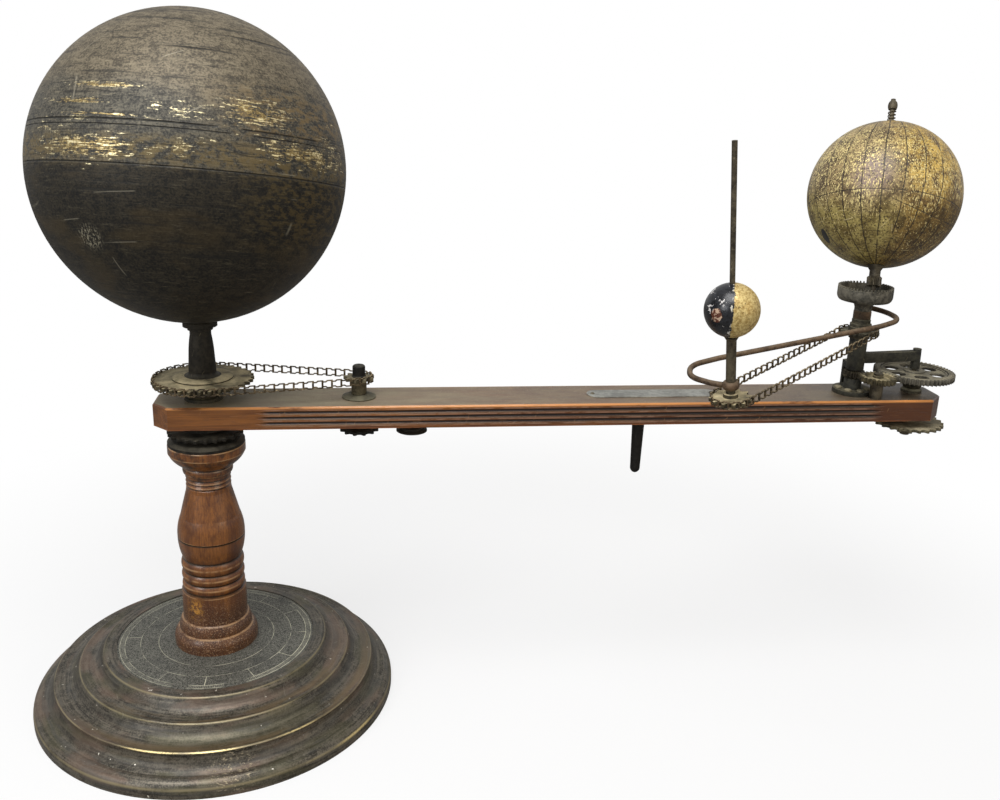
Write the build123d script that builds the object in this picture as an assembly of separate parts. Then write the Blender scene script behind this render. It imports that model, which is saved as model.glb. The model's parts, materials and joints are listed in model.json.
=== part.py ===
# Classroom orrery: a chain and gear driven model of the Sun, Earth and Moon.
# A weighted round base carries a turned wooden column. A wooden arm swings about the column's
# spindle. The Sun ball stands over the column. A post on the arm's far end carries the Earth
# globe, a bent wire carries the Moon round it, and brass gears and ladder chains turn them.
# Millimetres, +Z up. The origin is on the Sun's axis, on the surface the base stands on, and +X
# runs along the arm to the Earth.

import os
from math import asin, atan2, cos, degrees, hypot, pi, radians, sin, sqrt, tan

from build123d import *

os.makedirs("parts", exist_ok=True)

# Clearances
RUN = 0.05          # radial clearance of a shaft that turns in its bore
GAP = 0.3           # axial gap between pieces that turn past each other
SEAT = 0.02         # radial clearance of a fixed pin or stud in its hole

# Base
BASE_R = 157.4
BASE_WALL = 1.6
BASE_LIP = 5.0
BASE_FOOT = 11.0    # width of the flat ring turned in under the rim
TIERS = [(139.1, 28.6), (117.6, 39.7), (97.1, 49.8)]   # radius and height of each ridge
DISC_R = 85.7
DISC_T = 1.6
DISC_RECESS = 0.5   # the ring round the disc stands this much proud of it
WEIGHT_R = 104.0
WEIGHT_T = 17.0
WEIGHT_BOSS_R = 24.0

# Turned column
COLUMN_H = 187.0
FLANGE_R = 32.5
FOOT_R = 36.2
DRUM_R = 27.7
BULB_R = 28.7
NECK_R = 18.9

# Spindle through base, column and hub
SPINDLE_R = 5.0
NUT_FLATS = 17.0
NUT_H = 8.0

# Ladder chain and its sprockets
PITCH = 7.9375
RUNG = 0.75         # half width of a rung along the chain
LINK_T = 1.3        # thickness of the link's strip across the chain
LINK_IN = 1.6       # half of the clear height between a link's front rails
RAIL = 0.9
CRANK = 0.1         # clearance between a front rail and the rear rail that hooks over it
TOOTH_UP = 1.5
TOOTH_DOWN = 1.35
PLATE_T = 2.8
SUN_TEETH = 32
SMALL_TEETH = 9
SUN_CHAIN_LINKS = 54
LOWER_TEETH = 12
BIG_CHAIN_TEETH = 24
MOON_TEETH = 12
MOON_CHAIN_LINKS = 60

# Arm
ARM_LEFT = 39.9
ARM_RIGHT = 652.6
ARM_HALF_W = 26.9
ARM_T = 19.5
ARM_CORNER = 14.0
ARM_EDGE = 1.2
FLUTE_R = 1.5
FLUTE_STEP = 4.7
FLUTE_FROM = 52.0
FLUTE_TO = 586.0
CAP_PLATE_T = 4.4
LOWER_PLANE = 10.2  # height of the lower sprockets' plane above the column's top
ARM_RISE = 19.3     # height of the arm's underside above the column's top
SUN_PLANE = 17.0    # height of the Sun chain's plane above the arm

# Sun
SUN_R = 121.0
SUN_WALL = 1.0
SUN_RISE = 189.3    # height of the ball's centre above the arm
STEM_FOOT_R = 12.5
STEM_TOP_R = 8.7
STEM_COLLAR_R = 14.0
HUB_DISC_R = 25.0

# Pieces under the arm
GUIDE_X = 175.0
GUIDE_R = 13.4
HANDLE_X = 377.5
HANDLE_L = 55.0
HANDLE_R = 6.2
HANDLE_TIP_R = 4.4

# Bare plate on the arm
LABEL_X = 388.0
LABEL_L = 118.0
LABEL_W = 20.5
LABEL_T = 0.8

# Earth post and gears
POST_X = 574.5
DRIVE_X = 632.0
MODULE = 1.2
DRIVE_TEETH = 56
IDLER_TEETH = 24
PINION_TEETH = 14
GEAR_T = 5.5
GEAR_RISE = 15.0    # underside of the gears above the arm
POST_FOOT_R = 17.0
POST_FOOT_T = 4.0
POST_R = 7.7
PIN_R = 2.0
PIN_BEND = 2.6      # bends of the Earth's pin, on its centre line
DRIVE_TUBE_R = 3.9
DRIVE_SHAFT_R = 4.0
POST_TOP = 51.0     # top of the post's full tube above the arm
SPROCKET_RISE = 56.5  # plane of the fixed sprocket on the post above the arm
BRACKET_RISE = 33.0
BOSS_R = 4.2

# Crown wheel, Earth axis and globe
CROWN_R = 23.4
CROWN_H = 14.0
CROWN_TEETH = 48
CROWN_TOOTH = 1.7
EARTH_R = 63.5
EARTH_WALL = 3.0
EARTH_AXIS_TILT = 23.5
EARTH_AXIS_TURN = 66.0
EARTH_X = 11.5      # globe centre from the post's axis
EARTH_Y = 14.0
EARTH_RISE = 175.6  # globe centre above the arm
EARTH_PINION_TEETH = 12
SPRING_R = 2.9
SPRING_WIRE = 0.55
SPRING_COILS = 3

# Moon carrier
MOON_SLOPE = 8.0    # fall of the carrier from the post to the Moon
MOON_TURN = 214.2   # direction of the Moon from the post, as the photo shows it
MOON_R = 21.0
MOON_RISE = 72.5    # Moon's centre above its sprocket
MOON_ROD_R = 2.1
MOON_ROD_TOP = 199.0
MOON_STEM_R = 3.9
WIRE_R = 2.3
RING_R = 7.6        # ring on the drive tube that holds the wire
BEARING_R = 6.7     # knob at the wire's other end
WIRE_LIFT = 10.5    # wire's centre above the chain's plane

# Heights worked out from the sizes above
DISC_TOP = TIERS[2][1] - DISC_RECESS
COLUMN_TOP = DISC_TOP + COLUMN_H
ARM_BOTTOM = COLUMN_TOP + ARM_RISE
ARM_TOP = ARM_BOTTOM + ARM_T
LOWER_Z = COLUMN_TOP + LOWER_PLANE
SUN_Z = ARM_TOP + SUN_PLANE
SUN_CENTRE = ARM_TOP + SUN_RISE
SUN_FOOT = SUN_CENTRE - SUN_R
GEAR_Z = ARM_TOP + GEAR_RISE
POST_SPROCKET_Z = ARM_TOP + SPROCKET_RISE


def save(name, *solids):
    """Write one node, from one solid or from several separate ones."""
    shape = solids[0] if len(solids) == 1 else Compound(children=list(solids))
    shape.label = name
    export_step(shape, f"parts/{name}.step")


def rod(radius, z0, z1, x=0.0, y=0.0):
    return Pos(x, y, (z0 + z1) / 2) * Cylinder(radius, z1 - z0)


def tube(outer, inner, z0, z1, x=0.0, y=0.0):
    return rod(outer, z0, z1, x, y) - rod(inner, z0 - 1, z1 + 1, x, y)


def cone(r0, r1, z0, z1, x=0.0, y=0.0):
    return Pos(x, y, (z0 + z1) / 2) * Cone(r0, r1, z1 - z0)


def hexagon(flats, z0, z1, x=0.0, y=0.0):
    sketch = RegularPolygon(flats / 2, 6, major_radius=False)
    return Pos(x, y, z0) * extrude(sketch, z1 - z0)


def profile(start, *steps):
    """Closed outline of straight steps (r, z) and arcs ((r, z) on the way, (r, z) at the end)."""
    edges, here = [], start
    for step in steps:
        if isinstance(step[0], tuple):
            edges.append(ThreePointArc(here, step[0], step[1]))
            here = step[1]
        else:
            edges.append(Line(here, step))
            here = step
    if hypot(here[0] - start[0], here[1] - start[1]) > 1e-6:
        edges.append(Line(here, start))
    return make_face(edges)


def turned(start, *steps):
    return revolve(Plane.XZ * profile(start, *steps), Axis.Z)


def ring_of(count, radius, start=0.0):
    """Places evenly spaced round Z."""
    return [Rot(0, 0, start + 360 * i / count) * Pos(radius, 0, 0) for i in range(count)]


def toothed(count, root_r, pitch_r, tip_r, half_pitch, half_tip, phase):
    """Face of a wheel whose straight-sided teeth have these half widths, one tooth at phase."""
    half_root = half_pitch + (half_pitch - half_tip) * (pitch_r - root_r) / (tip_r - pitch_r)
    points = []
    for i in range(count):
        middle = radians(phase + 360 * i / count)
        for radius, half in ((root_r, -half_root), (tip_r, -half_tip), (tip_r, half_tip),
                             (root_r, half_root)):
            angle = middle + asin(half / radius)
            points.append((radius * cos(angle), radius * sin(angle)))
    return make_face(Polyline(points, close=True))


def pitch_radius(teeth):
    return PITCH / 2 / sin(pi / teeth)


def sprocket(teeth, bore, rung_angle, thickness=PLATE_T):
    """Chain wheel in the plane z = 0, with a gap between teeth at rung_angle (degrees)."""
    radius = pitch_radius(teeth)
    face = toothed(teeth, radius - TOOTH_DOWN, radius, radius + TOOTH_UP, 1.65, 0.8,
                   rung_angle + 180 / teeth)
    plate = extrude(face, thickness / 2, both=True)
    return plate - Cylinder(bore, thickness + 2)


def gear(teeth, thickness, bore, phase):
    """Spur gear on z = 0 and up, with one tooth at phase (degrees)."""
    radius = MODULE * teeth / 2
    face = toothed(teeth, radius - 1.25 * MODULE, radius, radius + 0.9 * MODULE,
                   0.36 * MODULE * pi / 2, 0.13 * MODULE * pi / 2, phase)
    return extrude(face, thickness) - Pos(0, 0, thickness / 2) * Cylinder(bore, thickness + 2)


class ChainRun:
    """Closed chain round two wheels, the first at (0, 0) and the second at (distance, 0).

    Rungs are counted from the far end of the first wheel's wrap, one step a link."""

    def __init__(self, teeth_a, teeth_b, links):
        self.a, self.b, self.links = teeth_a, teeth_b, links
        self.ra, self.rb = pitch_radius(teeth_a), pitch_radius(teeth_b)
        self.distance = links * PITCH / 3
        for _ in range(60):
            self.lay()
            self.distance += (links - self.total) * PITCH / 2
        self.lay()

    def lay(self):
        reach = (self.ra - self.rb) / self.distance
        self.lean = asin(reach)
        self.wrap_a = self.a * (pi + 2 * self.lean) / (2 * pi)
        self.wrap_b = self.b * (pi - 2 * self.lean) / (2 * pi)
        self.strand = self.distance * cos(self.lean) / PITCH
        self.total = self.wrap_a + self.wrap_b + 2 * self.strand

    def rung(self, step):
        """Place (x, y) of a point of the pitch line, step links from the start."""
        step = step % self.total
        upper = pi / 2 - self.lean
        if step < self.wrap_a:
            angle = upper + step * 2 * pi / self.a
            return self.ra * cos(angle), self.ra * sin(angle)
        step -= self.wrap_a
        if step < self.strand:
            side = (sin(self.lean), -cos(self.lean))
            along = step * PITCH
            return (self.ra * side[0] + along * cos(self.lean),
                    self.ra * side[1] + along * sin(self.lean))
        step -= self.strand
        if step < self.wrap_b:
            angle = -upper + step * 2 * pi / self.b
            return self.distance + self.rb * cos(angle), self.rb * sin(angle)
        step -= self.wrap_b
        along = step * PITCH
        return (self.distance + self.rb * sin(self.lean) - along * cos(self.lean),
                self.rb * cos(self.lean) + along * sin(self.lean))

    def rungs(self):
        return [self.rung(i) for i in range(self.links)]

    def phase_a(self):
        """Angle in degrees of one rung on the first wheel."""
        return 90 - degrees(self.lean)

    def phase_b(self):
        """Angle in degrees of one rung on the second wheel."""
        first = self.wrap_a + self.strand
        step = 1 - first % 1
        return degrees(-(pi / 2 - self.lean) + step * 2 * pi / self.b)


def ladder_link(start, end, up):
    """One link, bent from strip: a rung at start and two rails that hook over the rung at end."""
    run = end - start
    length = run.length
    across = run.cross(up)
    plane = Plane(origin=start, x_dir=run, z_dir=across)
    front, rear = LINK_IN + RAIL, LINK_IN + RAIL + CRANK
    top = [(-RUNG, front), (0.32 * length, front), (0.5 * length, rear + RAIL),
           (length + RUNG, rear + RAIL), (length + RUNG, rear), (0.55 * length, rear),
           (0.38 * length, LINK_IN), (RUNG, LINK_IN)]
    bottom = [(x, -z) for x, z in reversed(top)]
    return extrude(plane * make_face(Polyline(top + bottom, close=True)), LINK_T / 2, both=True)


def chain(points, ups):
    count = len(points)
    return [ladder_link(points[i], points[(i + 1) % count], ups[i]) for i in range(count)]


def bent_wire(points, radius, largest=60.0, share=0.45):
    """Round wire along straight runs joined by tangent arcs, as large as runs and limit allow."""
    bends = []
    for before, here, after in zip(points, points[1:], points[2:]):
        first, second = here - before, after - here
        half_turn = radians(first.get_angle(second)) / 2
        bends.append(min(largest, share * min(first.length, second.length) / tan(half_turn)))
    path = FilletPolyline(*points, radius=bends)
    section = Plane(origin=path @ 0, z_dir=path % 0) * Circle(radius)
    return sweep(section, path=path)


# Base

def base_outline(inset):
    """Outline of the spun base from its axis out, shrunk by the wall for the inside."""
    tiers = [(r - inset, z - inset) for r, z in TIERS]
    rim = BASE_R - inset
    seat = DISC_TOP - DISC_T - inset
    steps = [(0.0, seat), (DISC_R + 0.3 + inset, seat), (DISC_R + 0.3 + inset, tiers[2][1]),
             (tiers[2][0] - 1.0, tiers[2][1])]
    ends = [tiers[1], tiers[0], (rim - 9.0, BASE_LIP + 9.0)]
    for ridge, foot in zip(reversed(tiers), ends):
        drop = ridge[1] - foot[1]
        steps.append((ridge[0], ridge[1] - 0.8))
        steps.append(((ridge[0] + 0.22 * (foot[0] - ridge[0]), foot[1] + 0.3 * drop),
                      (foot[0] - 1.0, foot[1])))
    steps.append(((rim - 2.4, BASE_LIP + 6.0), (rim, BASE_LIP)))
    steps.append((rim, 0.0 if inset == 0 else BASE_WALL))
    return steps


def base_shell():
    outer = turned((0.0, 0.0), *base_outline(0.0))
    inner = turned((0.0, BASE_WALL), *base_outline(BASE_WALL))
    mouth = rod(BASE_R - BASE_FOOT, -1, BASE_WALL + 1)
    return outer - inner - mouth - rod(SPINDLE_R + SEAT, 0, DISC_TOP + 5)


def base_weight(top):
    bottom = top - WEIGHT_T - 15.0
    body = rod(WEIGHT_R, bottom, bottom + WEIGHT_T) + rod(WEIGHT_BOSS_R, bottom, top)
    return body - rod(SPINDLE_R + SEAT, bottom - 1, top + 1), bottom


save("base_shell", base_shell())
weight_top = DISC_TOP - DISC_T - BASE_WALL
weight, weight_bottom = base_weight(weight_top)
save("base_weight", weight)
save("base_washer", tube(16.0, SPINDLE_R + SEAT, weight_bottom - 2.0, weight_bottom))
nut_top = weight_bottom - 2.0
save("base_nut", hexagon(NUT_FLATS, nut_top - NUT_H, nut_top) - rod(SPINDLE_R + SEAT, 0, 60))
save("calendar_disc", tube(DISC_R, SPINDLE_R + SEAT, DISC_TOP - DISC_T, DISC_TOP))


# Column

def column():
    z0, top = DISC_TOP, COLUMN_TOP
    steps = [
        (FOOT_R, z0), (FOOT_R, z0 + 2.7), ((FOOT_R - 0.6, z0 + 9.0), (FOOT_R - 3.4, z0 + 13.4)),
        (FOOT_R - 4.7, z0 + 14.2), ((FOOT_R - 5.2, z0 + 19.5), (FOOT_R - 7.0, z0 + 23.6)),
        (DRUM_R + 0.2, z0 + 24.6), (DRUM_R, z0 + 51.2), (DRUM_R - 2.6, z0 + 52.2)]
    for low, high in ((52.6, 60.8), (61.8, 70.4), (71.4, 81.6)):
        steps.append((DRUM_R - 2.2, z0 + low))
        steps.append(((DRUM_R - 0.7, z0 + (low + high) / 2), (DRUM_R - 2.2, z0 + high)))
        steps.append((DRUM_R - 3.0, z0 + high + 0.5))
    steps += [
        (DRUM_R - 2.4, z0 + 82.8), ((BULB_R - 1.1, z0 + 91.0), (BULB_R, z0 + 100.9)),
        (BULB_R - 1.1, z0 + 101.6), (BULB_R, z0 + 102.3),
        ((BULB_R - 0.9, z0 + 113.0), (BULB_R - 3.4, z0 + 121.5)),
        ((BULB_R - 6.1, z0 + 132.0), (NECK_R + 0.4, z0 + 144.5)), (NECK_R, z0 + 147.6)]
    for groove in (148.8, 152.6, 156.4):
        steps += [(NECK_R - 0.9, z0 + groove - 0.3), (NECK_R - 0.9, z0 + groove + 0.3),
                  (NECK_R + 0.2, z0 + groove + 0.9)]
    steps += [
        (NECK_R + 0.3, z0 + 160.0), (NECK_R + 1.7, z0 + 161.0),
        ((NECK_R + 2.3, z0 + 163.6), (NECK_R + 1.7, z0 + 166.2)), (NECK_R + 1.2, z0 + 167.0),
        ((NECK_R + 5.0, z0 + 169.2), (NECK_R + 7.6, z0 + 171.4)),
        ((FLANGE_R - 3.4, z0 + 174.0), (FLANGE_R - 0.6, z0 + 178.6)), (FLANGE_R, z0 + 179.6),
        (FLANGE_R, top - 0.8), (FLANGE_R - 0.8, top), (SPINDLE_R + SEAT, top)]
    return turned((SPINDLE_R + SEAT, z0), *steps)


save("column", column())
save("column_cap_plate", turned(
    (SPINDLE_R + SEAT, COLUMN_TOP), (FLANGE_R - 0.3, COLUMN_TOP), (FLANGE_R - 0.3, COLUMN_TOP + 2.2),
    (FLANGE_R - 4.0, COLUMN_TOP + CAP_PLATE_T), (SPINDLE_R + SEAT, COLUMN_TOP + CAP_PLATE_T)))

lower_hub_low = COLUMN_TOP + CAP_PLATE_T
lower_hub_top = LOWER_Z + PLATE_T / 2 + 3.0
save("column_sprocket",
     Pos(0, 0, LOWER_Z) * sprocket(BIG_CHAIN_TEETH, SPINDLE_R + SEAT, 0.0)
     + tube(20.0, SPINDLE_R + SEAT, lower_hub_low, LOWER_Z)
     + tube(14.0, SPINDLE_R + SEAT, LOWER_Z, lower_hub_top))

spindle_low = nut_top - NUT_H - 3.0
spindle_top = SUN_FOOT + 16.0
save("central_spindle", rod(SPINDLE_R, spindle_low, spindle_top - 1.0)
     + cone(SPINDLE_R, SPINDLE_R - 1.0, spindle_top - 1.0, spindle_top))

# Arm and its hub

hub_bush_r = SPINDLE_R + 3.0
hub_flange_r = 16.0
bush_low = lower_hub_top + GAP
bush_top = ARM_TOP + 2.4
save("hub_bush",
     tube(hub_bush_r, SPINDLE_R + RUN, bush_low, bush_top)
     + tube(hub_flange_r, SPINDLE_R + RUN, ARM_TOP, bush_top))
save("hub_washer", tube(22.0, hub_bush_r + SEAT, bush_low, ARM_BOTTOM))

sun_run = ChainRun(SUN_TEETH, SMALL_TEETH, SUN_CHAIN_LINKS)
moon_run = ChainRun(MOON_TEETH, MOON_TEETH, MOON_CHAIN_LINKS)
SMALL_X = sun_run.distance
small_shaft_r = 3.5
small_bush_r = small_shaft_r + 2.0
drive_bush_r = DRIVE_SHAFT_R + 2.5
idler_stud_r = 2.5
guide_stud_r = 2.5

# The idler sits where its two mesh distances from the post and from the drive shaft meet
mesh_post = MODULE * (PINION_TEETH + IDLER_TEETH) / 2
mesh_drive = MODULE * (DRIVE_TEETH + IDLER_TEETH) / 2
span = DRIVE_X - POST_X
idler_along = (mesh_post ** 2 - mesh_drive ** 2 + span ** 2) / 2 / span
IDLER_X = POST_X + idler_along
IDLER_Y = -sqrt(mesh_post ** 2 - idler_along ** 2)


def flute(side, height):
    """Half-round groove along one face of the arm, running out at both ends."""
    y = side * (ARM_HALF_W + 0.2)
    middle = (FLUTE_FROM + FLUTE_TO) / 2
    groove = Pos(middle, y, height) * Rot(0, 90, 0) * Cylinder(FLUTE_R, FLUTE_TO - FLUTE_FROM)
    for x, turn in ((FLUTE_FROM, -90), (FLUTE_TO, 90)):
        groove += Pos(x + 4 * turn / 90, y, height) * Rot(0, turn, 0) * Cone(FLUTE_R, 0.2, 8)
    return groove


def arm_board():
    length = ARM_LEFT + ARM_RIGHT
    sketch = Pos((ARM_RIGHT - ARM_LEFT) / 2, 0) * Rectangle(length, 2 * ARM_HALF_W)
    board = Pos(0, 0, ARM_BOTTOM) * extrude(chamfer(sketch.vertices(), ARM_CORNER), ARM_T)
    board = chamfer(board.faces().sort_by(Axis.Z)[-1].edges(), ARM_EDGE)
    middle = (ARM_BOTTOM + ARM_TOP) / 2
    for side in (-1, 1):
        for step in (-1, 0, 1):
            board -= flute(side, middle + step * FLUTE_STEP)
    through = [(hub_bush_r, 0.0, 0.0), (small_bush_r, SMALL_X, 0.0), (drive_bush_r, DRIVE_X, 0.0)]
    for radius, x, y in through:
        board -= rod(radius + SEAT, ARM_BOTTOM - 1, ARM_TOP + 1, x, y)
    for radius, x, y in ((idler_stud_r, IDLER_X, IDLER_Y), (PIN_R, POST_X, 0.0)):
        board -= rod(radius + SEAT, ARM_TOP - 12.0, ARM_TOP + 1, x, y)
    board -= rod(guide_stud_r + SEAT, ARM_BOTTOM - 1, ARM_BOTTOM + 12.0, GUIDE_X)
    board -= rod(HANDLE_R - 2.0 + SEAT, ARM_BOTTOM - 1, ARM_BOTTOM + 12.0, HANDLE_X)
    return board


save("arm_board", arm_board())

handle_low = ARM_BOTTOM - HANDLE_L
save("handle_peg", turned(
    (0.0, handle_low), ((HANDLE_TIP_R * 0.72, handle_low + 1.6), (HANDLE_TIP_R, handle_low + 5.5)),
    (HANDLE_R - 0.8, ARM_BOTTOM - 9.0), (HANDLE_R, ARM_BOTTOM - 7.0), (HANDLE_R, ARM_BOTTOM),
    (HANDLE_R - 2.0, ARM_BOTTOM), (HANDLE_R - 2.0, ARM_BOTTOM + 12.0),
    (0.0, ARM_BOTTOM + 12.0)).moved(Location((HANDLE_X, 0, 0))))

plate_face = SlotOverall(LABEL_L, LABEL_W)
pin_span = LABEL_L / 2 - 5.0
label_plate = Pos(LABEL_X, 0, ARM_TOP) * extrude(plate_face, LABEL_T)
for side in (-1, 1):
    label_plate -= rod(1.0, ARM_TOP - 1, ARM_TOP + 2, LABEL_X + side * pin_span)
save("label_plate", label_plate)
save("label_pins", *[
    rod(1.0 - SEAT, ARM_TOP, ARM_TOP + LABEL_T, x) + cone(2.0, 1.2, ARM_TOP + LABEL_T,
                                                          ARM_TOP + LABEL_T + 0.9, x)
    for x in (LABEL_X - pin_span, LABEL_X + pin_span)])

# Sun sprocket, stem and ball

sun_plate_low = SUN_Z - PLATE_T / 2
sun_plate_top = SUN_Z + PLATE_T / 2
hub_disc_top = sun_plate_top + 2.4
save("sun_sprocket",
     Pos(0, 0, SUN_Z) * sprocket(SUN_TEETH, SPINDLE_R + SEAT, sun_run.phase_a())
     + tube(13.0, SPINDLE_R + SEAT, bush_top + GAP, sun_plate_low)
     + turned((SPINDLE_R + SEAT, sun_plate_top), (HUB_DISC_R, sun_plate_top),
              (HUB_DISC_R, sun_plate_top + 1.2), (HUB_DISC_R - 4.0, hub_disc_top),
              (SPINDLE_R + SEAT, hub_disc_top)))

collar_low = SUN_FOOT - 6.5
save("sun_stem", turned(
    (SPINDLE_R + SEAT, hub_disc_top), (STEM_FOOT_R + 2.5, hub_disc_top),
    ((STEM_FOOT_R - 0.2, hub_disc_top + 1.2), (STEM_FOOT_R - 1.2, hub_disc_top + 4.5)),
    (STEM_TOP_R + 1.6, collar_low - 19.0), ((STEM_TOP_R + 0.9, collar_low - 12.0),
                                            (STEM_TOP_R, collar_low - 6.0)),
    (STEM_TOP_R, collar_low - 2.5), (STEM_TOP_R + 1.6, collar_low - 1.8),
    (STEM_TOP_R + 1.6, collar_low), (STEM_COLLAR_R, collar_low + 1.2),
    (STEM_COLLAR_R, SUN_FOOT - 1.6), (STEM_COLLAR_R - 1.0, SUN_FOOT - 0.5),
    (SPINDLE_R + SEAT, SUN_FOOT - 0.5)))


def sun_half(upper):
    outer, inner = SUN_R, SUN_R - SUN_WALL
    seam = SUN_CENTRE
    lap = 2.0
    if upper:
        shell = turned(
            (outer, seam), ((outer * cos(pi / 4), seam + outer * sin(pi / 4)), (0.0, seam + outer)),
            (0.0, seam + inner), ((inner * cos(pi / 4), seam + inner * sin(pi / 4)),
                                  (inner, seam)))
        return shell
    ball = turned(
        (outer, seam), ((outer * cos(pi / 4), seam - outer * sin(pi / 4)), (0.0, seam - outer)),
        (0.0, seam - inner), ((inner * cos(pi / 4), seam - inner * sin(pi / 4)), (inner, seam)))
    lip = tube(inner - 0.05, inner - 0.85, seam - lap, seam + lap)
    lip += tube(inner + 0.2, inner - 0.85, seam - lap - 1.0, seam - 0.5)
    flat = rod(STEM_COLLAR_R - 1.0, SUN_FOOT - 0.5, SUN_FOOT + SUN_WALL + 1.0)
    return ball + lip + flat - rod(SPINDLE_R + SEAT, SUN_FOOT - 2, SUN_FOOT + 8)


save("sun_upper_shell", sun_half(True))
save("sun_lower_shell", sun_half(False))
sun_nut_low = SUN_FOOT + SUN_WALL + 1.0
save("sun_nut", hexagon(NUT_FLATS, sun_nut_low, sun_nut_low + NUT_H)
     - rod(SPINDLE_R + SEAT, SUN_FOOT - 5, SUN_FOOT + 30))

# Small shaft, with the chain's small sprocket above the arm and a lower sprocket under it

small_flange_top = ARM_TOP + 3.0
save("small_shaft_bush",
     tube(small_bush_r, small_shaft_r + RUN, ARM_BOTTOM - 1.5, ARM_TOP, SMALL_X)
     + turned((small_shaft_r + RUN, ARM_TOP), (14.5, ARM_TOP), (14.5, ARM_TOP + 0.8),
              (9.0, small_flange_top), (small_shaft_r + RUN, small_flange_top)
              ).moved(Location((SMALL_X, 0, 0))))
small_top = SUN_Z + 11.5
lower_bottom = LOWER_Z - PLATE_T / 2
small_shaft = rod(small_shaft_r, lower_bottom - 1.0, small_top - 5.0, SMALL_X)
save("small_shaft", small_shaft)
save("small_sprocket",
     Pos(SMALL_X, 0, SUN_Z) * sprocket(SMALL_TEETH, small_shaft_r + SEAT, sun_run.phase_b())
     + tube(6.5, small_shaft_r + SEAT, small_flange_top + GAP, SUN_Z, SMALL_X))
save("small_hub_cap", turned(
    (0.0, small_top), (3.6, small_top), ((5.0, small_top - 0.8), (5.4, small_top - 2.4)),
    (5.4, sun_plate_top + 1.2), (6.2, sun_plate_top), (small_shaft_r + SEAT, sun_plate_top),
    (small_shaft_r + SEAT, small_top - 5.0), (0.0, small_top - 5.0)
    ).moved(Location((SMALL_X, 0, 0))))
save("lower_sprocket",
     Pos(SMALL_X, 0, LOWER_Z) * sprocket(LOWER_TEETH, small_shaft_r + SEAT, 0.0)
     + tube(7.5, small_shaft_r + SEAT, LOWER_Z, ARM_BOTTOM - 1.5 - GAP, SMALL_X))

# Guide pulley under the arm

guide_low = LOWER_Z - 2.6
guide_high = LOWER_Z + 2.6
save("guide_pulley", turned(
    (guide_stud_r + RUN, guide_low), (GUIDE_R, guide_low), (GUIDE_R, guide_low + 1.0),
    (GUIDE_R - 2.4, guide_low + 1.8), (GUIDE_R - 2.4, guide_high - 1.8),
    (GUIDE_R, guide_high - 1.0), (GUIDE_R, guide_high), (guide_stud_r + RUN, guide_high)
    ).moved(Location((GUIDE_X, 0, 0))))
save("guide_stud",
     rod(guide_stud_r, guide_low - GAP, ARM_BOTTOM + 11.5, GUIDE_X)
     + rod(4.6, guide_low - GAP - 1.8, guide_low - GAP, GUIDE_X)
     + rod(5.0, guide_high + GAP, ARM_BOTTOM, GUIDE_X))

# Sun chain

sun_points = [Vector(x, y, SUN_Z) for x, y in sun_run.rungs()]
save("sun_chain", *chain(sun_points, [Vector(0, 0, 1)] * len(sun_points)))

# Earth post: a casting with a foot, a back web round the pinion, a tube and a gear bracket

post_bore = DRIVE_TUBE_R + RUN
gear_top = GEAR_Z + GEAR_T
foot_top = ARM_TOP + POST_FOOT_T
post_top = ARM_TOP + POST_TOP
pinion_tip = MODULE * (PINION_TEETH / 2 + 0.9)
window_low = GEAR_Z - 1.5
window_high = gear_top + 1.5
boss_low = gear_top + 1.6
boss_high = boss_low + 18.5
bracket_z = ARM_TOP + BRACKET_RISE
screw_circle = 12.8
screw_r = 1.6
screw_head_r = 3.6
screw_angles = (174, 228, 276, 330)
pivot_r = 2.0


def earth_post():
    x = POST_X
    body = rod(POST_FOOT_R, ARM_TOP, foot_top, x)
    body += rod(POST_R, foot_top, window_low, x)
    body += rod(POST_R, window_high, post_top, x)
    web = tube(pinion_tip + 3.6, pinion_tip + 0.9, foot_top - 1.0, window_high + 2.0, x)
    web &= Pos(x + 1.0, 11.0, ARM_TOP + 14) * Box(15.0, 13.0, 40.0)
    body += web
    bridge = Pos(x + 1.0, 7.0, window_high + 3.0) * Box(15.0, 12.0, 6.0)
    body += bridge & rod(pinion_tip + 3.6, window_high, window_high + 6.0, x)
    seat = Pos(x + 1.0, 7.0, foot_top + 1.0) * Box(15.0, 12.0, 3.0)
    body += seat & rod(pinion_tip + 3.6, foot_top - 1, foot_top + 3.0, x)
    rise = boss_low + 11.0
    side = Polyline([(x, bracket_z - 5.0), (x + 12, bracket_z - 5.0), (DRIVE_X, rise - 3.0),
                     (DRIVE_X, rise + 5.5), (x + 14, bracket_z + 4.0), (x, bracket_z + 4.5)],
                    close=True)
    bar = extrude(Plane.XZ * make_face(side), 3.6, both=True)
    body += bar
    body += cone(BOSS_R, BOSS_R - 0.6, boss_low, boss_high, DRIVE_X)
    body -= rod(post_bore, ARM_TOP + 1.6, post_top + 1, x)
    body -= rod(PIN_R + SEAT, ARM_TOP - 1, ARM_TOP + 3, x)
    body -= rod(pivot_r + RUN, boss_low - 1, boss_high - 3.0, DRIVE_X)
    for angle in screw_angles:
        a = radians(angle)
        body -= rod(screw_r + SEAT, ARM_TOP - 1, foot_top + 1, x + screw_circle * cos(a),
                    screw_circle * sin(a))
    return body


save("earth_post", earth_post())


def post_screw(angle):
    a = radians(angle)
    x, y = POST_X + screw_circle * cos(a), screw_circle * sin(a)
    return turned((0.0, ARM_TOP), (screw_r, ARM_TOP), (screw_r, foot_top), (screw_head_r, foot_top),
                  ((0.85 * screw_head_r, foot_top + 1.2), (0.4 * screw_head_r, foot_top + 2.0)),
                  (0.0, foot_top + 2.0)).moved(Location((x, y, 0)))


save("post_screws", *[post_screw(angle) for angle in screw_angles])

# Fixed sprocket and stepped collar at the top of the post

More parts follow.
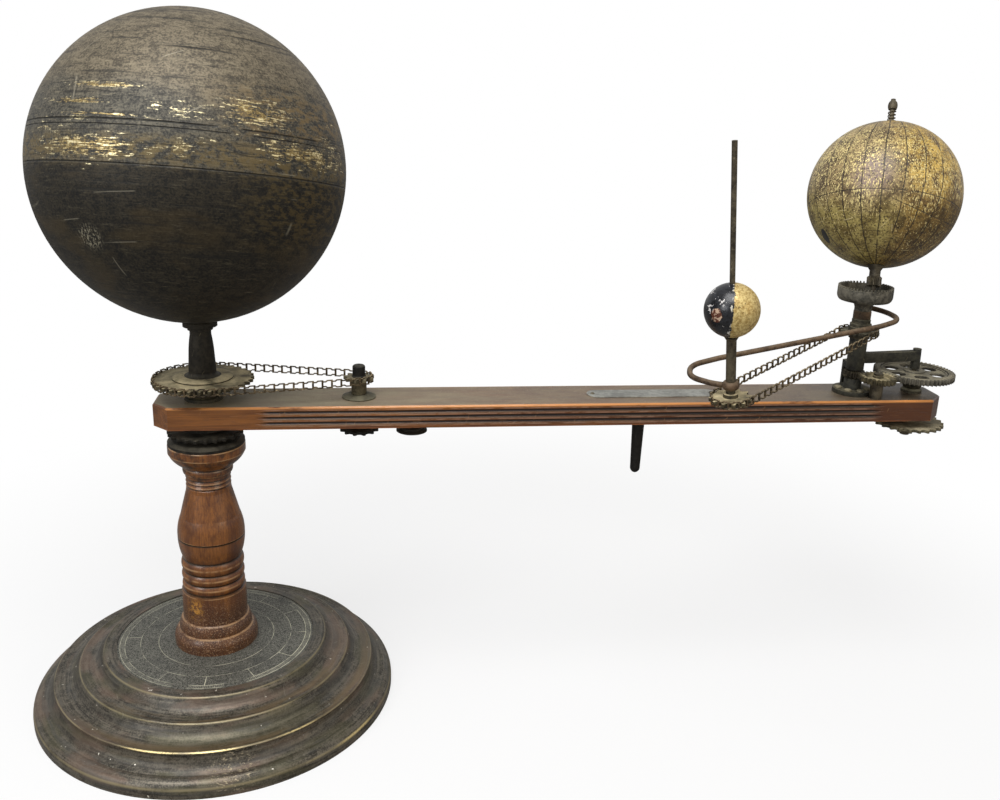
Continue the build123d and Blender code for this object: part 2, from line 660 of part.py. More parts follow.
collar_base = POST_SPROCKET_Z + PLATE_T / 2
collar_top = collar_base + 11.0
moon_phase = moon_run.phase_a()
save("post_sprocket",
     Pos(POST_X, 0, POST_SPROCKET_Z) * sprocket(MOON_TEETH, post_bore, moon_phase + MOON_TURN)
     + tube(9.0, post_bore, post_top, POST_SPROCKET_Z, POST_X)
     + turned((post_bore, collar_base), (10.0, collar_base), (10.0, collar_base + 3.2),
              (9.2, collar_base + 3.9), (9.2, collar_base + 6.2), (8.0, collar_base + 6.8),
              (8.0, collar_top - 1.0), (7.2, collar_top), (post_bore, collar_top)
              ).moved(Location((POST_X, 0, 0))))

# Drive tube with its pinion, carrier ring and crown wheel

to_idler = degrees(atan2(IDLER_Y, IDLER_X - POST_X))
tube_low = ARM_TOP + 1.6 + GAP
ring_low = collar_top + GAP
ring_top = ring_low + 7.0
crown_floor = ring_top + 8.0
crown_rim = crown_floor + CROWN_H
tube_bore = PIN_R + RUN
save("drive_tube",
     tube(DRIVE_TUBE_R, tube_bore, tube_low, crown_floor + 2.0, POST_X)
     + Pos(POST_X, 0, GEAR_Z) * gear(PINION_TEETH, GEAR_T, tube_bore, to_idler))
save("carrier_ring", turned(
    (DRIVE_TUBE_R + SEAT, ring_low), (RING_R, ring_low), (RING_R, ring_low + 1.2),
    (RING_R - 0.6, ring_low + 1.3), (RING_R - 0.6, ring_low + 1.6), (RING_R, ring_low + 1.7),
    (RING_R, ring_low + 6.0), (RING_R - 0.6, ring_top), (DRIVE_TUBE_R + SEAT, ring_top)
    ).moved(Location((POST_X, 0, 0))))


def crown_wheel():
    x = POST_X
    wall = 2.4
    cup = turned(
        (DRIVE_TUBE_R + SEAT, ring_top), (7.4, ring_top),
        ((8.0, ring_top + 4.6), (10.5, crown_floor - 0.4)), (CROWN_R - 2.0, crown_floor + 1.2),
        ((CROWN_R - 0.5, crown_floor + 3.4), (CROWN_R, crown_floor + 6.4)),
        (CROWN_R, crown_rim - CROWN_TOOTH), (CROWN_R - wall, crown_rim - CROWN_TOOTH),
        (CROWN_R - wall, crown_floor + 3.8), (CROWN_R - wall - 1.6, crown_floor + 2.4),
        (DRIVE_TUBE_R + SEAT, crown_floor + 2.4))
    half = pi * (CROWN_R - wall / 2) / CROWN_TEETH
    tooth = Polyline([(-0.62 * half, -0.4), (0.62 * half, -0.4), (0.25 * half, CROWN_TOOTH),
                      (-0.25 * half, CROWN_TOOTH)], close=True)
    base = crown_rim - CROWN_TOOTH
    one = Plane(origin=(CROWN_R - wall + 0.1, 0, base), x_dir=(0, 1, 0), z_dir=(1, 0, 0))
    solid = extrude(one * make_face(tooth), wall - 0.2)
    cup += [place * solid for place in ring_of(CROWN_TEETH, 0.0)]
    return cup.moved(Location((x, 0, 0)))


save("crown_wheel", crown_wheel())

# Idler and drive gear train

from_post = to_idler + 180
gap_angle = from_post + 180 / IDLER_TEETH
idler_to_drive = degrees(atan2(-IDLER_Y, DRIVE_X - IDLER_X))
idler_pitch = 360 / IDLER_TEETH
offset = (gap_angle - idler_to_drive + idler_pitch / 2) % idler_pitch - idler_pitch / 2
drive_gap = idler_to_drive + 180 - offset * IDLER_TEETH / DRIVE_TEETH
idler = gear(IDLER_TEETH, GEAR_T, idler_stud_r + RUN, gap_angle)
idler_r = MODULE * IDLER_TEETH / 2
idler -= Pos(0, 0, GEAR_T) * turned((0.0, 0.0), (idler_r - 4.2, -2.6), (idler_r - 2.8, 0.0))
idler += tube(4.6, idler_stud_r + RUN, 0, GEAR_T + 0.6)
save("idler_gear", Pos(IDLER_X, IDLER_Y, GEAR_Z) * idler)
idler_head = GEAR_Z + GEAR_T + 0.6 + GAP
save("idler_stud",
     rod(idler_stud_r, ARM_TOP - 11.5, idler_head, IDLER_X, IDLER_Y)
     + rod(4.2, idler_head, idler_head + 1.6, IDLER_X, IDLER_Y)
     + rod(mesh_post - POST_FOOT_R - GAP, ARM_TOP, GEAR_Z - GAP, IDLER_X, IDLER_Y))


def drive_gear():
    radius = MODULE * DRIVE_TEETH / 2
    body = gear(DRIVE_TEETH, GEAR_T, DRIVE_SHAFT_R + SEAT, drive_gap + 180 / DRIVE_TEETH)
    for z in (0.0, GEAR_T - 1.5):
        body -= Pos(0, 0, z) * tube(radius - 4.6, 9.0, 0.0, 1.5)
    body -= [place * rod(6.3, -1, GEAR_T + 1) for place in ring_of(6, radius - 14.0, 20)]
    body += tube(radius - 5.6, radius - 7.0, GEAR_T - 1.5, GEAR_T - 0.6)
    return Pos(DRIVE_X, 0, GEAR_Z) * body


save("drive_gear", drive_gear())
drive_bush_top = ARM_TOP + 4.0
drive_flange_low = ARM_BOTTOM - 1.5
save("drive_bush",
     tube(drive_bush_r, DRIVE_SHAFT_R + RUN, drive_flange_low, ARM_TOP, DRIVE_X)
     + turned((DRIVE_SHAFT_R + RUN, ARM_TOP), (9.0, ARM_TOP), (9.0, ARM_TOP + 2.6),
              (7.0, drive_bush_top), (DRIVE_SHAFT_R + RUN, drive_bush_top)
              ).moved(Location((DRIVE_X, 0, 0))))
end_low = LOWER_Z - 12.5
save("drive_shaft",
     rod(DRIVE_SHAFT_R, end_low, gear_top, DRIVE_X) + rod(pivot_r, gear_top, boss_high - 4.0, DRIVE_X))
save("drive_hub", turned(
    (DRIVE_SHAFT_R + SEAT, drive_bush_top + GAP), (7.4, drive_bush_top + GAP),
    (11.4, GEAR_Z - 1.0), (11.4, GEAR_Z), (DRIVE_SHAFT_R + SEAT, GEAR_Z)
    ).moved(Location((DRIVE_X, 0, 0))))
save("end_sprocket",
     Pos(DRIVE_X, 0, LOWER_Z) * sprocket(BIG_CHAIN_TEETH, DRIVE_SHAFT_R + SEAT, 0.0)
     + tube(8.7, DRIVE_SHAFT_R + SEAT, LOWER_Z, drive_flange_low - GAP, DRIVE_X)
     + tube(8.7, DRIVE_SHAFT_R + SEAT, LOWER_Z - 5.0, LOWER_Z, DRIVE_X))
save("end_nut", hexagon(13.0, LOWER_Z - 10.5, LOWER_Z - 5.0, DRIVE_X)
     - rod(DRIVE_SHAFT_R + SEAT, LOWER_Z - 20, LOWER_Z, DRIVE_X))

# Earth: a bent fixed pin, the globe with its pinion on it, and a spring and knob on top

tilt, turn = radians(EARTH_AXIS_TILT), radians(EARTH_AXIS_TURN)
axis = Vector(sin(tilt) * cos(turn), sin(tilt) * sin(turn), cos(tilt))
earth = Vector(POST_X + EARTH_X, EARTH_Y, ARM_TOP + EARTH_RISE)
earth_plane = Plane(origin=earth, z_dir=axis)
stem_r = 4.6
pin_top = EARTH_R + 24.0
pinion_module = 2 * (CROWN_R - 2.0) / CROWN_TEETH
pinion_r = pinion_module * EARTH_PINION_TEETH / 2
pinion_tip_r = pinion_r + 0.9 * pinion_module

# The pinion's low edge clears the crown wheel's teeth by GAP
pinion_low = (crown_rim + GAP + pinion_tip_r * sin(tilt) - earth.Z) / cos(tilt)
pinion_high = pinion_low + 8.0
tail = pinion_low - 5.5


def on_axis(distance):
    return earth + axis * distance


def earth_pin():
    low = Vector(POST_X, 0, ARM_TOP - 11.5)
    bend = Vector(POST_X, 0, crown_floor + 2.4 + 3.0)
    foot = on_axis(tail)
    points = [low, bend, Vector(foot.X, foot.Y, bend.Z), on_axis(pinion_low - 1.5),
              on_axis(pin_top)]
    return bent_wire(points, PIN_R, PIN_BEND)


save("earth_axis_pin", earth_pin())


def earth_globe():
    ball = Sphere(EARTH_R) - Sphere(EARTH_R - EARTH_WALL)
    return earth_plane * (ball - Cylinder(PIN_R + 1.5 + SEAT, 3 * EARTH_R))


save("earth_globe", earth_globe())
bore = PIN_R + RUN
lower_plate = -EARTH_R - SEAT
face = toothed(EARTH_PINION_TEETH, pinion_r - 1.2 * pinion_module, pinion_r, pinion_tip_r,
               0.4 * pinion_module * pi / 2, 0.16 * pinion_module * pi / 2, 0.0)
save("earth_pinion", earth_plane * (
    Pos(0, 0, pinion_low) * extrude(face, 8.0) + rod(stem_r, pinion_high, lower_plate - 4.0)
    + cone(stem_r, 7.0, lower_plate - 4.0, lower_plate)
    + rod(PIN_R + 1.5, lower_plate, EARTH_R + 0.5) - Cylinder(bore, 4 * EARTH_R)))
save("earth_top_washer", earth_plane * (
    tube(5.4, PIN_R + 1.5 + SEAT, EARTH_R + SEAT, EARTH_R + 1.0)
    + tube(3.9, bore, EARTH_R + 1.0, EARTH_R + 4.2)))


def axis_spring():
    low = EARTH_R + 4.2 + GAP + SPRING_WIRE
    coil = Helix(pitch=3.0, height=3.0 * SPRING_COILS, radius=SPRING_R)
    section = Plane(origin=coil @ 0, z_dir=coil % 0) * RegularPolygon(SPRING_WIRE, 6)
    return earth_plane * Pos(0, 0, low) * sweep(section, path=coil, is_frenet=True)


save("axis_spring", axis_spring())
knob_low = EARTH_R + 4.2 + GAP + 2 * SPRING_WIRE + 3.0 * SPRING_COILS + GAP
save("axis_knob", earth_plane * turned(
    (PIN_R + SEAT, knob_low), (3.4, knob_low), ((4.0, knob_low + 3.2), (3.4, knob_low + 6.4)),
    (2.2, knob_low + 8.0), (0.0, knob_low + 8.0), (0.0, pin_top + 0.2), (PIN_R + SEAT, pin_top + 0.2)))

# Moon carrier: everything here lies in the plane that falls from the post to the Moon

slope, heading = radians(MOON_SLOPE), radians(MOON_TURN)
hinge = Vector(POST_X, 0, POST_SPROCKET_Z)
out = Vector(cos(heading) * cos(slope), sin(heading) * cos(slope), -sin(slope))
normal = Vector(cos(heading) * sin(slope), sin(heading) * sin(slope), cos(slope))
carrier_plane = Plane(origin=hinge, x_dir=out, z_dir=normal)
moon_plane = Plane(origin=hinge + out * moon_run.distance, x_dir=out, z_dir=normal)


def carrier_point(x, y, z):
    return carrier_plane.from_local_coords(Vector(x, y, z))


def moon_chain():
    """The chain is level till it clears the post's sprocket and falls with the carrier beyond."""
    points, ups = [], []
    level = Plane(origin=hinge, x_dir=(cos(heading), sin(heading), 0), z_dir=(0, 0, 1))
    for x, y in moon_run.rungs():
        if x <= PITCH + 1:
            points.append(level.from_local_coords(Vector(x, y, 0)))
            ups.append(Vector(0, 0, 1))
        else:
            points.append(carrier_point(x, y, 0))
            ups.append(normal)
    return chain(points, ups)


save("moon_chain", *moon_chain())

sleeve_low = PLATE_T / 2 + 6.4
sleeve_high = sleeve_low + 6.6
spindle_core = MOON_ROD_R


def carrier_wire():
    z, tip = WIRE_LIFT, moon_run.distance
    start = carrier_plane.to_local_coords(Vector(POST_X, 0, ring_low + 3.8))
    outline = [(start.X - 4.0, start.Y - 2.0, start.Z), (-26.0, -14.0, z + 4.0), (-34.0, 5.0, z),
               (-21.0, 26.5, z), (4.0, 21.5, z), (tip - 42.0, -42.5, z), (tip - 15.0, -51.0, z),
               (tip + 5.0, -36.0, z), (tip + 5.0, -14.0, z), (tip + 1.0, -3.0, z)]
    wire = bent_wire([carrier_point(*point) for point in outline], WIRE_R)
    wire -= rod(RING_R + SEAT, ring_low - 1, ring_top + 1, POST_X)
    return wire - moon_plane * rod(BEARING_R + SEAT, sleeve_low - 5, sleeve_high + 5)


save("carrier_wire", carrier_wire())
save("moon_bearing", moon_plane * turned(
    (spindle_core + RUN, sleeve_low), (BEARING_R - 1.7, sleeve_low),
    ((BEARING_R, sleeve_low + 3.3), (BEARING_R - 1.7, sleeve_high)),
    (spindle_core + RUN, sleeve_high)))
moon_phase_b = moon_run.phase_b()
save("moon_sprocket", moon_plane * (
    sprocket(MOON_TEETH, spindle_core + SEAT, moon_phase_b)
    + tube(5.8, spindle_core + SEAT, PLATE_T / 2, 4.4) + tube(3.6, spindle_core + SEAT, 4.4,
                                                              sleeve_low - GAP)))
moon_foot = MOON_RISE - MOON_R
save("moon_spindle", moon_plane * (
    rod(spindle_core, -PLATE_T / 2 - 2.0, MOON_ROD_TOP)
    + rod(MOON_STEM_R, sleeve_high + GAP, moon_foot - 0.6)
    + cone(MOON_STEM_R, 5.4, moon_foot - 3.2, moon_foot - 0.6)
    - rod(spindle_core + SEAT, -200, -PLATE_T / 2 - 2.5)))
save("moon_ball", moon_plane * Pos(0, 0, MOON_RISE) * (
    Sphere(MOON_R) - Cylinder(MOON_ROD_R + RUN, 3 * MOON_R)))
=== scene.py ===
"""Looks of a chain and gear driven classroom orrery: camera, light, finishes and worn edges."""
import json
import logging
import math
from abc import ABC, abstractmethod
from dataclasses import dataclass
from enum import Enum

import bpy
from mathutils import Matrix, Vector

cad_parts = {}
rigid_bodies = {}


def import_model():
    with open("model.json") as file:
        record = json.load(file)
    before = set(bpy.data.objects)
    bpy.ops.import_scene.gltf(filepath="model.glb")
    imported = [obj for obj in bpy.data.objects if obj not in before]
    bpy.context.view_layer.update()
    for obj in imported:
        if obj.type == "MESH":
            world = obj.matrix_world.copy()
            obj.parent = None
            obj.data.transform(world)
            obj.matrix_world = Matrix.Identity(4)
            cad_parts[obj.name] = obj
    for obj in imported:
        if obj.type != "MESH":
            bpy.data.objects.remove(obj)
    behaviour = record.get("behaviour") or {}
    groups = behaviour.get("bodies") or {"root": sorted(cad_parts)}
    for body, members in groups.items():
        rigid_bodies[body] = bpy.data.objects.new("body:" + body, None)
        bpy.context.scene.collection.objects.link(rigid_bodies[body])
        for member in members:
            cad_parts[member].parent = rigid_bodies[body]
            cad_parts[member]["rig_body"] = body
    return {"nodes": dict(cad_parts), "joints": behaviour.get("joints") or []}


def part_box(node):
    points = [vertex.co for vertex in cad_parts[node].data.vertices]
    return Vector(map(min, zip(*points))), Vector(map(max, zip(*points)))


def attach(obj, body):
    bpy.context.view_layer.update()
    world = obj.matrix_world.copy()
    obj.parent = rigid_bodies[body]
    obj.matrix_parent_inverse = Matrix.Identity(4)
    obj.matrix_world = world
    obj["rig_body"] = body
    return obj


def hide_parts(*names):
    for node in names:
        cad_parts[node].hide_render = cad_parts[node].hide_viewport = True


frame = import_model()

MM = 0.001
LOG = logging.getLogger("orrery")
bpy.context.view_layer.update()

Rgb = tuple[int, int, int]
Tones = tuple[Rgb, Rgb]
Place = tuple[float, float, float]
Socket = bpy.types.NodeSocket
Value = float | int | tuple | Vector | Socket


class Ease(Enum):
    """How far the sharp edges of a metal piece are rounded, in millimetres."""

    FINE = 0.12
    SOFT = 0.25


def tone(rgb: Rgb) -> tuple[float, float, float, float]:
    """Turn a colour as a screen shows it into the linear one a shader takes.

    Args:
        rgb: Red, green and blue from 0 to 255.

    Returns:
        The linear colour with full alpha.
    """
    def linear(c: float) -> float:
        """One channel, from screen to linear."""
        return c / 12.92 if c <= 0.04045 else ((c + 0.055) / 1.055) ** 2.4

    return tuple(linear(c / 255) for c in rgb) + (1.0,)


# Shader building


class Nodes:
    """Adds and joins the nodes of one material or node group."""

    def __init__(self, tree: bpy.types.NodeTree) -> None:
        """Start on a node tree."""
        self.tree = tree

    def feed(self, socket: Socket, value: Value) -> None:
        """Link a socket to another one, or set its value."""
        if isinstance(value, bpy.types.NodeSocket):
            self.tree.links.new(value, socket)
        else:
            socket.default_value = value

    def feed_all(self, node: bpy.types.Node, inputs: dict[str | int, Value]) -> None:
        """Feed several inputs of a node, by name or number."""
        for name, value in inputs.items():
            self.feed(node.inputs[name], value)

    def add(self, kind: str, inputs: dict[str | int, Value] | None = None,
            **settings: object) -> bpy.types.Node:
        """Add a node, set its options and feed its inputs.

        Args:
            kind: The node's type name, without the leading ShaderNode.
            inputs: Values or sockets by input name or number.
            settings: The node's own options.

        Returns:
            The new node.
        """
        node = self.tree.nodes.new("ShaderNode" + kind)
        for name, value in settings.items():
            setattr(node, name, value)
        self.feed_all(node, inputs or {})
        return node

    def group(self, tree: bpy.types.NodeTree, **inputs: Value) -> bpy.types.Node:
        """Place a shared node group with this material's own values."""
        node = self.tree.nodes.new("ShaderNodeGroup")
        node.node_tree = tree
        self.feed_all(node, inputs)
        return node

    # Numbers

    def math(self, operation: str, a: Value, b: Value = 0.0, c: Value = 0.0) -> Socket:
        """Result of one Math node."""
        return self.add("Math", {0: a, 1: b, 2: c}, operation=operation).outputs[0]

    def line(self, value: Value, slope: Value, start: Value) -> Socket:
        """Value times slope, plus start."""
        return self.math("MULTIPLY_ADD", value, slope, start)

    def minus(self, a: Value, b: Value) -> Socket:
        """The difference a - b."""
        return self.math("SUBTRACT", a, b)

    def times(self, *values: Value) -> Socket:
        """Product of several values."""
        total = values[0]
        for value in values[1:]:
            total = self.math("MULTIPLY", total, value)
        return total

    def most(self, *values: Value) -> Socket:
        """Largest of several values."""
        total = values[0]
        for value in values[1:]:
            total = self.math("MAXIMUM", total, value)
        return total

    def between(self, value: Value, low: Value, high: Value) -> Socket:
        """0 below low, 1 above high and smooth in between; low may be above high."""
        node = self.add("MapRange", {"Value": value, "From Min": low, "From Max": high},
                        interpolation_type="SMOOTHSTEP")
        return node.outputs["Result"]

    def near(self, value: Value, centre: float, half: float) -> Socket:
        """1 where value is at centre, falling to 0 at half away from it."""
        away = self.math("ABSOLUTE", self.minus(value, centre))
        return self.between(away, half, half * 0.15)

    def bands(self, value: Value, lines: list[tuple[float, float]]) -> Socket:
        """1 on any of several lines, each a centre and a half width."""
        return self.most(*(self.near(value, centre, half) for centre, half in lines))

    def to_step(self, steps: Value, width: Value) -> Socket:
        """Distance to the nearest whole step, where one step is width wide."""
        part = self.math("FRACT", steps)
        return self.times(self.math("MINIMUM", part, self.minus(1.0, part)), width)

    # Positions

    def vector(self, operation: str, a: Value, b: Value = (0.0, 0.0, 0.0)) -> Socket:
        """Vector result of one Vector Math node."""
        return self.add("VectorMath", {0: a, 1: b}, operation=operation).outputs["Vector"]

    def measure(self, operation: str, a: Value, b: Value = (0.0, 0.0, 0.0)) -> Socket:
        """Number that one Vector Math node gives, such as a distance."""
        return self.add("VectorMath", {0: a, 1: b}, operation=operation).outputs["Value"]

    def stretch(self, position: Value, scales: Place, turn: Place = (0.0, 0.0, 0.0)) -> Socket:
        """Position turned (degrees) and then scaled along its axes."""
        angles = tuple(math.radians(angle) for angle in turn)
        node = self.add("Mapping", {"Vector": position, "Rotation": angles, "Scale": scales},
                        vector_type="POINT")
        return node.outputs[0]

    def split(self, position: Value) -> tuple[Socket, Socket, Socket]:
        """The three parts of a position."""
        return tuple(self.add("SeparateXYZ", {0: position}).outputs)

    def join(self, x: Value, y: Value, z: Value) -> Socket:
        """Position made of three parts."""
        return self.add("CombineXYZ", {0: x, 1: y, 2: z}).outputs[0]

    def radius(self, x: Value, y: Value) -> Socket:
        """Distance from the axis x = y = 0."""
        return self.math("SQRT", self.line(x, x, self.times(y, y)))

    def upward(self) -> Socket:
        """How far the face looks up, from -1 to 1."""
        return self.split(self.add("NewGeometry").outputs["Normal"])[2]

    # Patterns

    def noise(self, position: Value, scale: Value, detail: float = 5.0, rough: float = 0.6,
              twist: float = 0.0) -> Socket:
        """Smooth random value from 0 to 1."""
        node = self.add("TexNoise", {"Vector": position, "Scale": scale, "Detail": detail,
                                     "Roughness": rough, "Distortion": twist})
        return node.outputs["Fac"]

    def streaks(self, position: Value, scales: Place, detail: float = 5.0, rough: float = 0.6,
                twist: float = 0.0, turn: Place = (0.0, 0.0, 0.0)) -> Socket:
        """Smooth random value from 0 to 1, with its own scale along each axis."""
        return self.noise(self.stretch(position, scales, turn), 1.0, detail, rough, twist)

    # Colours

    def mix(self, share: Value, low: Value, high: Value) -> Socket:
        """Colour high laid over low by share."""
        node = self.add("Mix", data_type="RGBA")
        self.feed_all(node, {"Factor": share, 6: low, 7: high})
        return node.outputs[2]

    def over(self, color: Value, share: Value, rgb: Rgb) -> Socket:
        """The colour, with a plain one laid over it by share."""
        return self.mix(share, color, tone(rgb))

    def tones(self, share: Value, pair: Tones) -> Socket:
        """From the first tone where share is 0 to the second where it is 1."""
        return self.mix(share, tone(pair[0]), tone(pair[1]))


class Effect:
    """A shared shader node group, built once and placed in many materials."""

    kinds = {"Vector": "NodeSocketVector", "Float": "NodeSocketFloat", "Color": "NodeSocketColor"}

    def __init__(self, name: str, inputs: dict[str, str], outputs: dict[str, str]) -> None:
        """Make the empty group with its named sockets."""
        self.tree = bpy.data.node_groups.new(name, "ShaderNodeTree")
        for side, sockets in (("INPUT", inputs), ("OUTPUT", outputs)):
            for label, kind in sockets.items():
                self.tree.interface.new_socket(label, in_out=side, socket_type=self.kinds[kind])
        self.nodes = Nodes(self.tree)
        self.inputs = self.tree.nodes.new("NodeGroupInput").outputs
        self.outputs = self.tree.nodes.new("NodeGroupOutput").inputs

    def give(self, **results: Socket) -> bpy.types.NodeTree:
        """Join the results to the group's outputs and return the finished group."""
        for label, socket in results.items():
            self.nodes.feed(self.outputs[label], socket)
        return self.tree


class Effects:
    """The effects that several finishes share, each built once."""

    def __init__(self) -> None:
        """Build every shared group."""
        self.patina = self.build_patina()
        self.scratches = self.build_scratches()
        self.dust = self.build_dust()
        self.grain = self.build_grain()
        self.crackle = self.build_crackle()

    def build_patina(self) -> bpy.types.NodeTree:
        """Blotches of three tones, with a mask of the bright worn spots and a fine relief."""
        effect = Effect("Patina", {"Position": "Vector", "Scale": "Float", "Dark": "Color",
                                   "Middle": "Color", "Bright": "Color", "Wear": "Float"},
                        {"Color": "Color", "Worn": "Float", "Height": "Float"})
        n, i = effect.nodes, effect.inputs
        broad = n.noise(i["Position"], i["Scale"], 4.0, 0.55, 0.4)
        spots = n.noise(i["Position"], n.times(i["Scale"], 5.0), 6.0, 0.65, 0.6)
        grit = n.noise(i["Position"], n.times(i["Scale"], 26.0), 4.0, 0.7)
        blotch = n.line(spots, 0.5, n.times(broad, 0.5))
        base = n.mix(n.between(blotch, 0.38, 0.62), i["Dark"], i["Middle"])
        base = n.mix(n.between(grit, 0.42, 0.3), base, i["Dark"])
        rub = n.line(grit, 0.35, n.times(spots, 0.65))
        edge = n.line(i["Wear"], -0.32, 0.72)
        worn = n.between(rub, edge, n.math("ADD", edge, 0.09))
        relief = n.line(grit, 0.6, n.times(spots, 0.4))
        return effect.give(Color=n.mix(worn, base, i["Bright"]), Worn=worn, Height=relief)

    def build_scratches(self) -> bpy.types.NodeTree:
        """Thin straight scratches in three directions; Scale is their number in a metre."""
        effect = Effect("Scratches", {"Position": "Vector", "Scale": "Float", "Amount": "Float"},
                        {"Mask": "Float"})
        n, i = effect.nodes, effect.inputs
        position = n.vector("MULTIPLY", i["Position"], i["Scale"])
        lines = []
        for turn in ((14, 0, 35), (80, 25, 0), (-50, 60, 20)):
            x, y, z = n.split(n.stretch(position, (1.0, 1.0, 1.0), turn))
            row = n.times(n.math("FLOOR", z), 7.3)
            place = n.join(n.times(x, 0.4), n.times(y, 0.4), row)
            parts = n.between(n.noise(place, 1.0, 1.0), 0.66, 0.72)
            lines.append(n.times(n.near(n.math("FRACT", z), 0.5, 0.035), parts))
        return effect.give(Mask=n.times(n.most(*lines), i["Amount"]))

    def build_dust(self) -> bpy.types.NodeTree:
        """Dust on the faces that look up, laid over a colour."""
        effect = Effect("Dust", {"Position": "Vector", "Scale": "Float", "Color": "Color",
                                 "Dust": "Color", "Amount": "Float"},
                        {"Color": "Color", "Mask": "Float"})
        n, i = effect.nodes, effect.inputs
        drift = n.between(n.noise(i["Position"], i["Scale"], 6.0, 0.65), 0.25, 0.7)
        mask = n.times(n.between(n.upward(), 0.25, 0.95), drift, i["Amount"])
        return effect.give(Color=n.mix(mask, i["Color"], i["Dust"]), Mask=mask)

    def build_grain(self) -> bpy.types.NodeTree:
        """Wood grain that runs along X, with fine dark pores."""
        effect = Effect("Wood grain", {"Position": "Vector", "Scale": "Float", "Light": "Color",
                                       "Dark": "Color", "Pores": "Float"},
                        {"Color": "Color", "Height": "Float"})
        n, i = effect.nodes, effect.inputs
        position = n.vector("MULTIPLY", i["Position"], i["Scale"])
        rings = n.streaks(position, (0.12, 1.6, 1.6), 3.0, 0.5, 0.8)
        fibre = n.streaks(position, (0.35, 14.0, 14.0), 5.0, 0.7)
        pore = n.streaks(position, (1.6, 46.0, 46.0), 2.0, 0.6)
        share = n.line(fibre, 0.5, n.times(rings, 0.5))
        base = n.mix(n.between(share, 0.36, 0.64), i["Dark"], i["Light"])
        pits = n.times(n.between(pore, 0.42, 0.3), i["Pores"])
        color = n.mix(pits, base, n.over(base, 0.75, (0, 0, 0)))
        return effect.give(Color=color, Height=n.minus(fibre, pits))

    def build_crackle(self) -> bpy.types.NodeTree:
        """Fine net of cracks in old varnish."""
        effect = Effect("Crackle", {"Position": "Vector", "Scale": "Float", "Amount": "Float"},
                        {"Mask": "Float"})
        n, i = effect.nodes, effect.inputs
        shift = n.times(n.noise(i["Position"], i["Scale"], 3.0), 0.004)
        cells = n.add("TexVoronoi", {"Vector": n.vector("ADD", i["Position"], shift),
                                     "Scale": i["Scale"]}, feature="DISTANCE_TO_EDGE")
        cracks = n.between(cells.outputs["Distance"], 0.07, 0.01)
        return effect.give(Mask=n.times(cracks, i["Amount"]))


EFFECTS = Effects()


# Finishes


class Finish(ABC):
    """Base of every finish: makes the material and its shader."""

    label: str

    @abstractmethod
    def paint(self, n: Nodes, shader: bpy.types.Node, position: Socket) -> None:
        """Join this finish's colour, gloss and relief to the shader."""

    def build(self) -> bpy.types.Material:
        """Make the material.

        Returns:
            The finished material.
        """
        material = bpy.data.materials.new(self.label)
        material.use_nodes = True
        material.node_tree.nodes.clear()
        nodes = Nodes(material.node_tree)
        shader = nodes.add("BsdfPrincipled")
        nodes.add("OutputMaterial", {"Surface": shader.outputs["BSDF"]})
        self.paint(nodes, shader, nodes.add("TexCoord").outputs["Object"])
        return material

    @staticmethod
    def relief(n: Nodes, shader: bpy.types.Node, height: Value, depth_mm: float) -> None:
        """Feed a height, in shares of depth_mm, to the shader's normal."""
        bump = n.add("Bump", {"Height": height, "Strength": 1.0, "Distance": depth_mm * MM})
        n.feed(shader.inputs["Normal"], bump.outputs["Normal"])

    @staticmethod
    def nicked(n: Nodes, color: Value, position: Socket, scale: float, amount: float,
               rgb: Rgb) -> Socket:
        """The colour with thin straight scratches in it."""
        nicks = n.group(EFFECTS.scratches, Position=position, Scale=scale, Amount=amount)
        return n.over(color, nicks.outputs["Mask"], rgb)


@dataclass(frozen=True)
class AgedMetal(Finish):
    """Old metal with tarnish, rubbed spots, fine scratches and dust on top."""

    label: str
    dark: Rgb
    middle: Rgb
    bright: Rgb
    wear: float = 0.3
    scale: float = 45.0
    metallic: float = 0.75
    rough: tuple[float, float] = (0.34, 0.6)
    dust: float = 0.35
    dust_tone: Rgb = (128, 120, 100)

    def paint(self, n: Nodes, shader: bpy.types.Node, position: Socket) -> None:
        """Lay the tarnish, the scratches and the dust."""
        patina = n.group(EFFECTS.patina, Position=position, Scale=self.scale, Wear=self.wear,
                         Dark=tone(self.dark), Middle=tone(self.middle), Bright=tone(self.bright))
        color = self.nicked(n, patina.outputs["Color"], position, 260.0, 0.5, self.bright)
        dusty = n.group(EFFECTS.dust, Position=position, Scale=60.0, Color=color,
                        Dust=tone(self.dust_tone), Amount=self.dust)
        low, high = self.rough
        gloss = n.line(patina.outputs["Worn"], low - high, high)
        cover = dusty.outputs["Mask"]
        n.feed_all(shader, {"Base Color": dusty.outputs["Color"],
                            "Roughness": n.line(cover, 0.3, gloss),
                            "Metallic": n.line(cover, -self.metallic, self.metallic)})
        self.relief(n, shader, patina.outputs["Height"], 0.12)


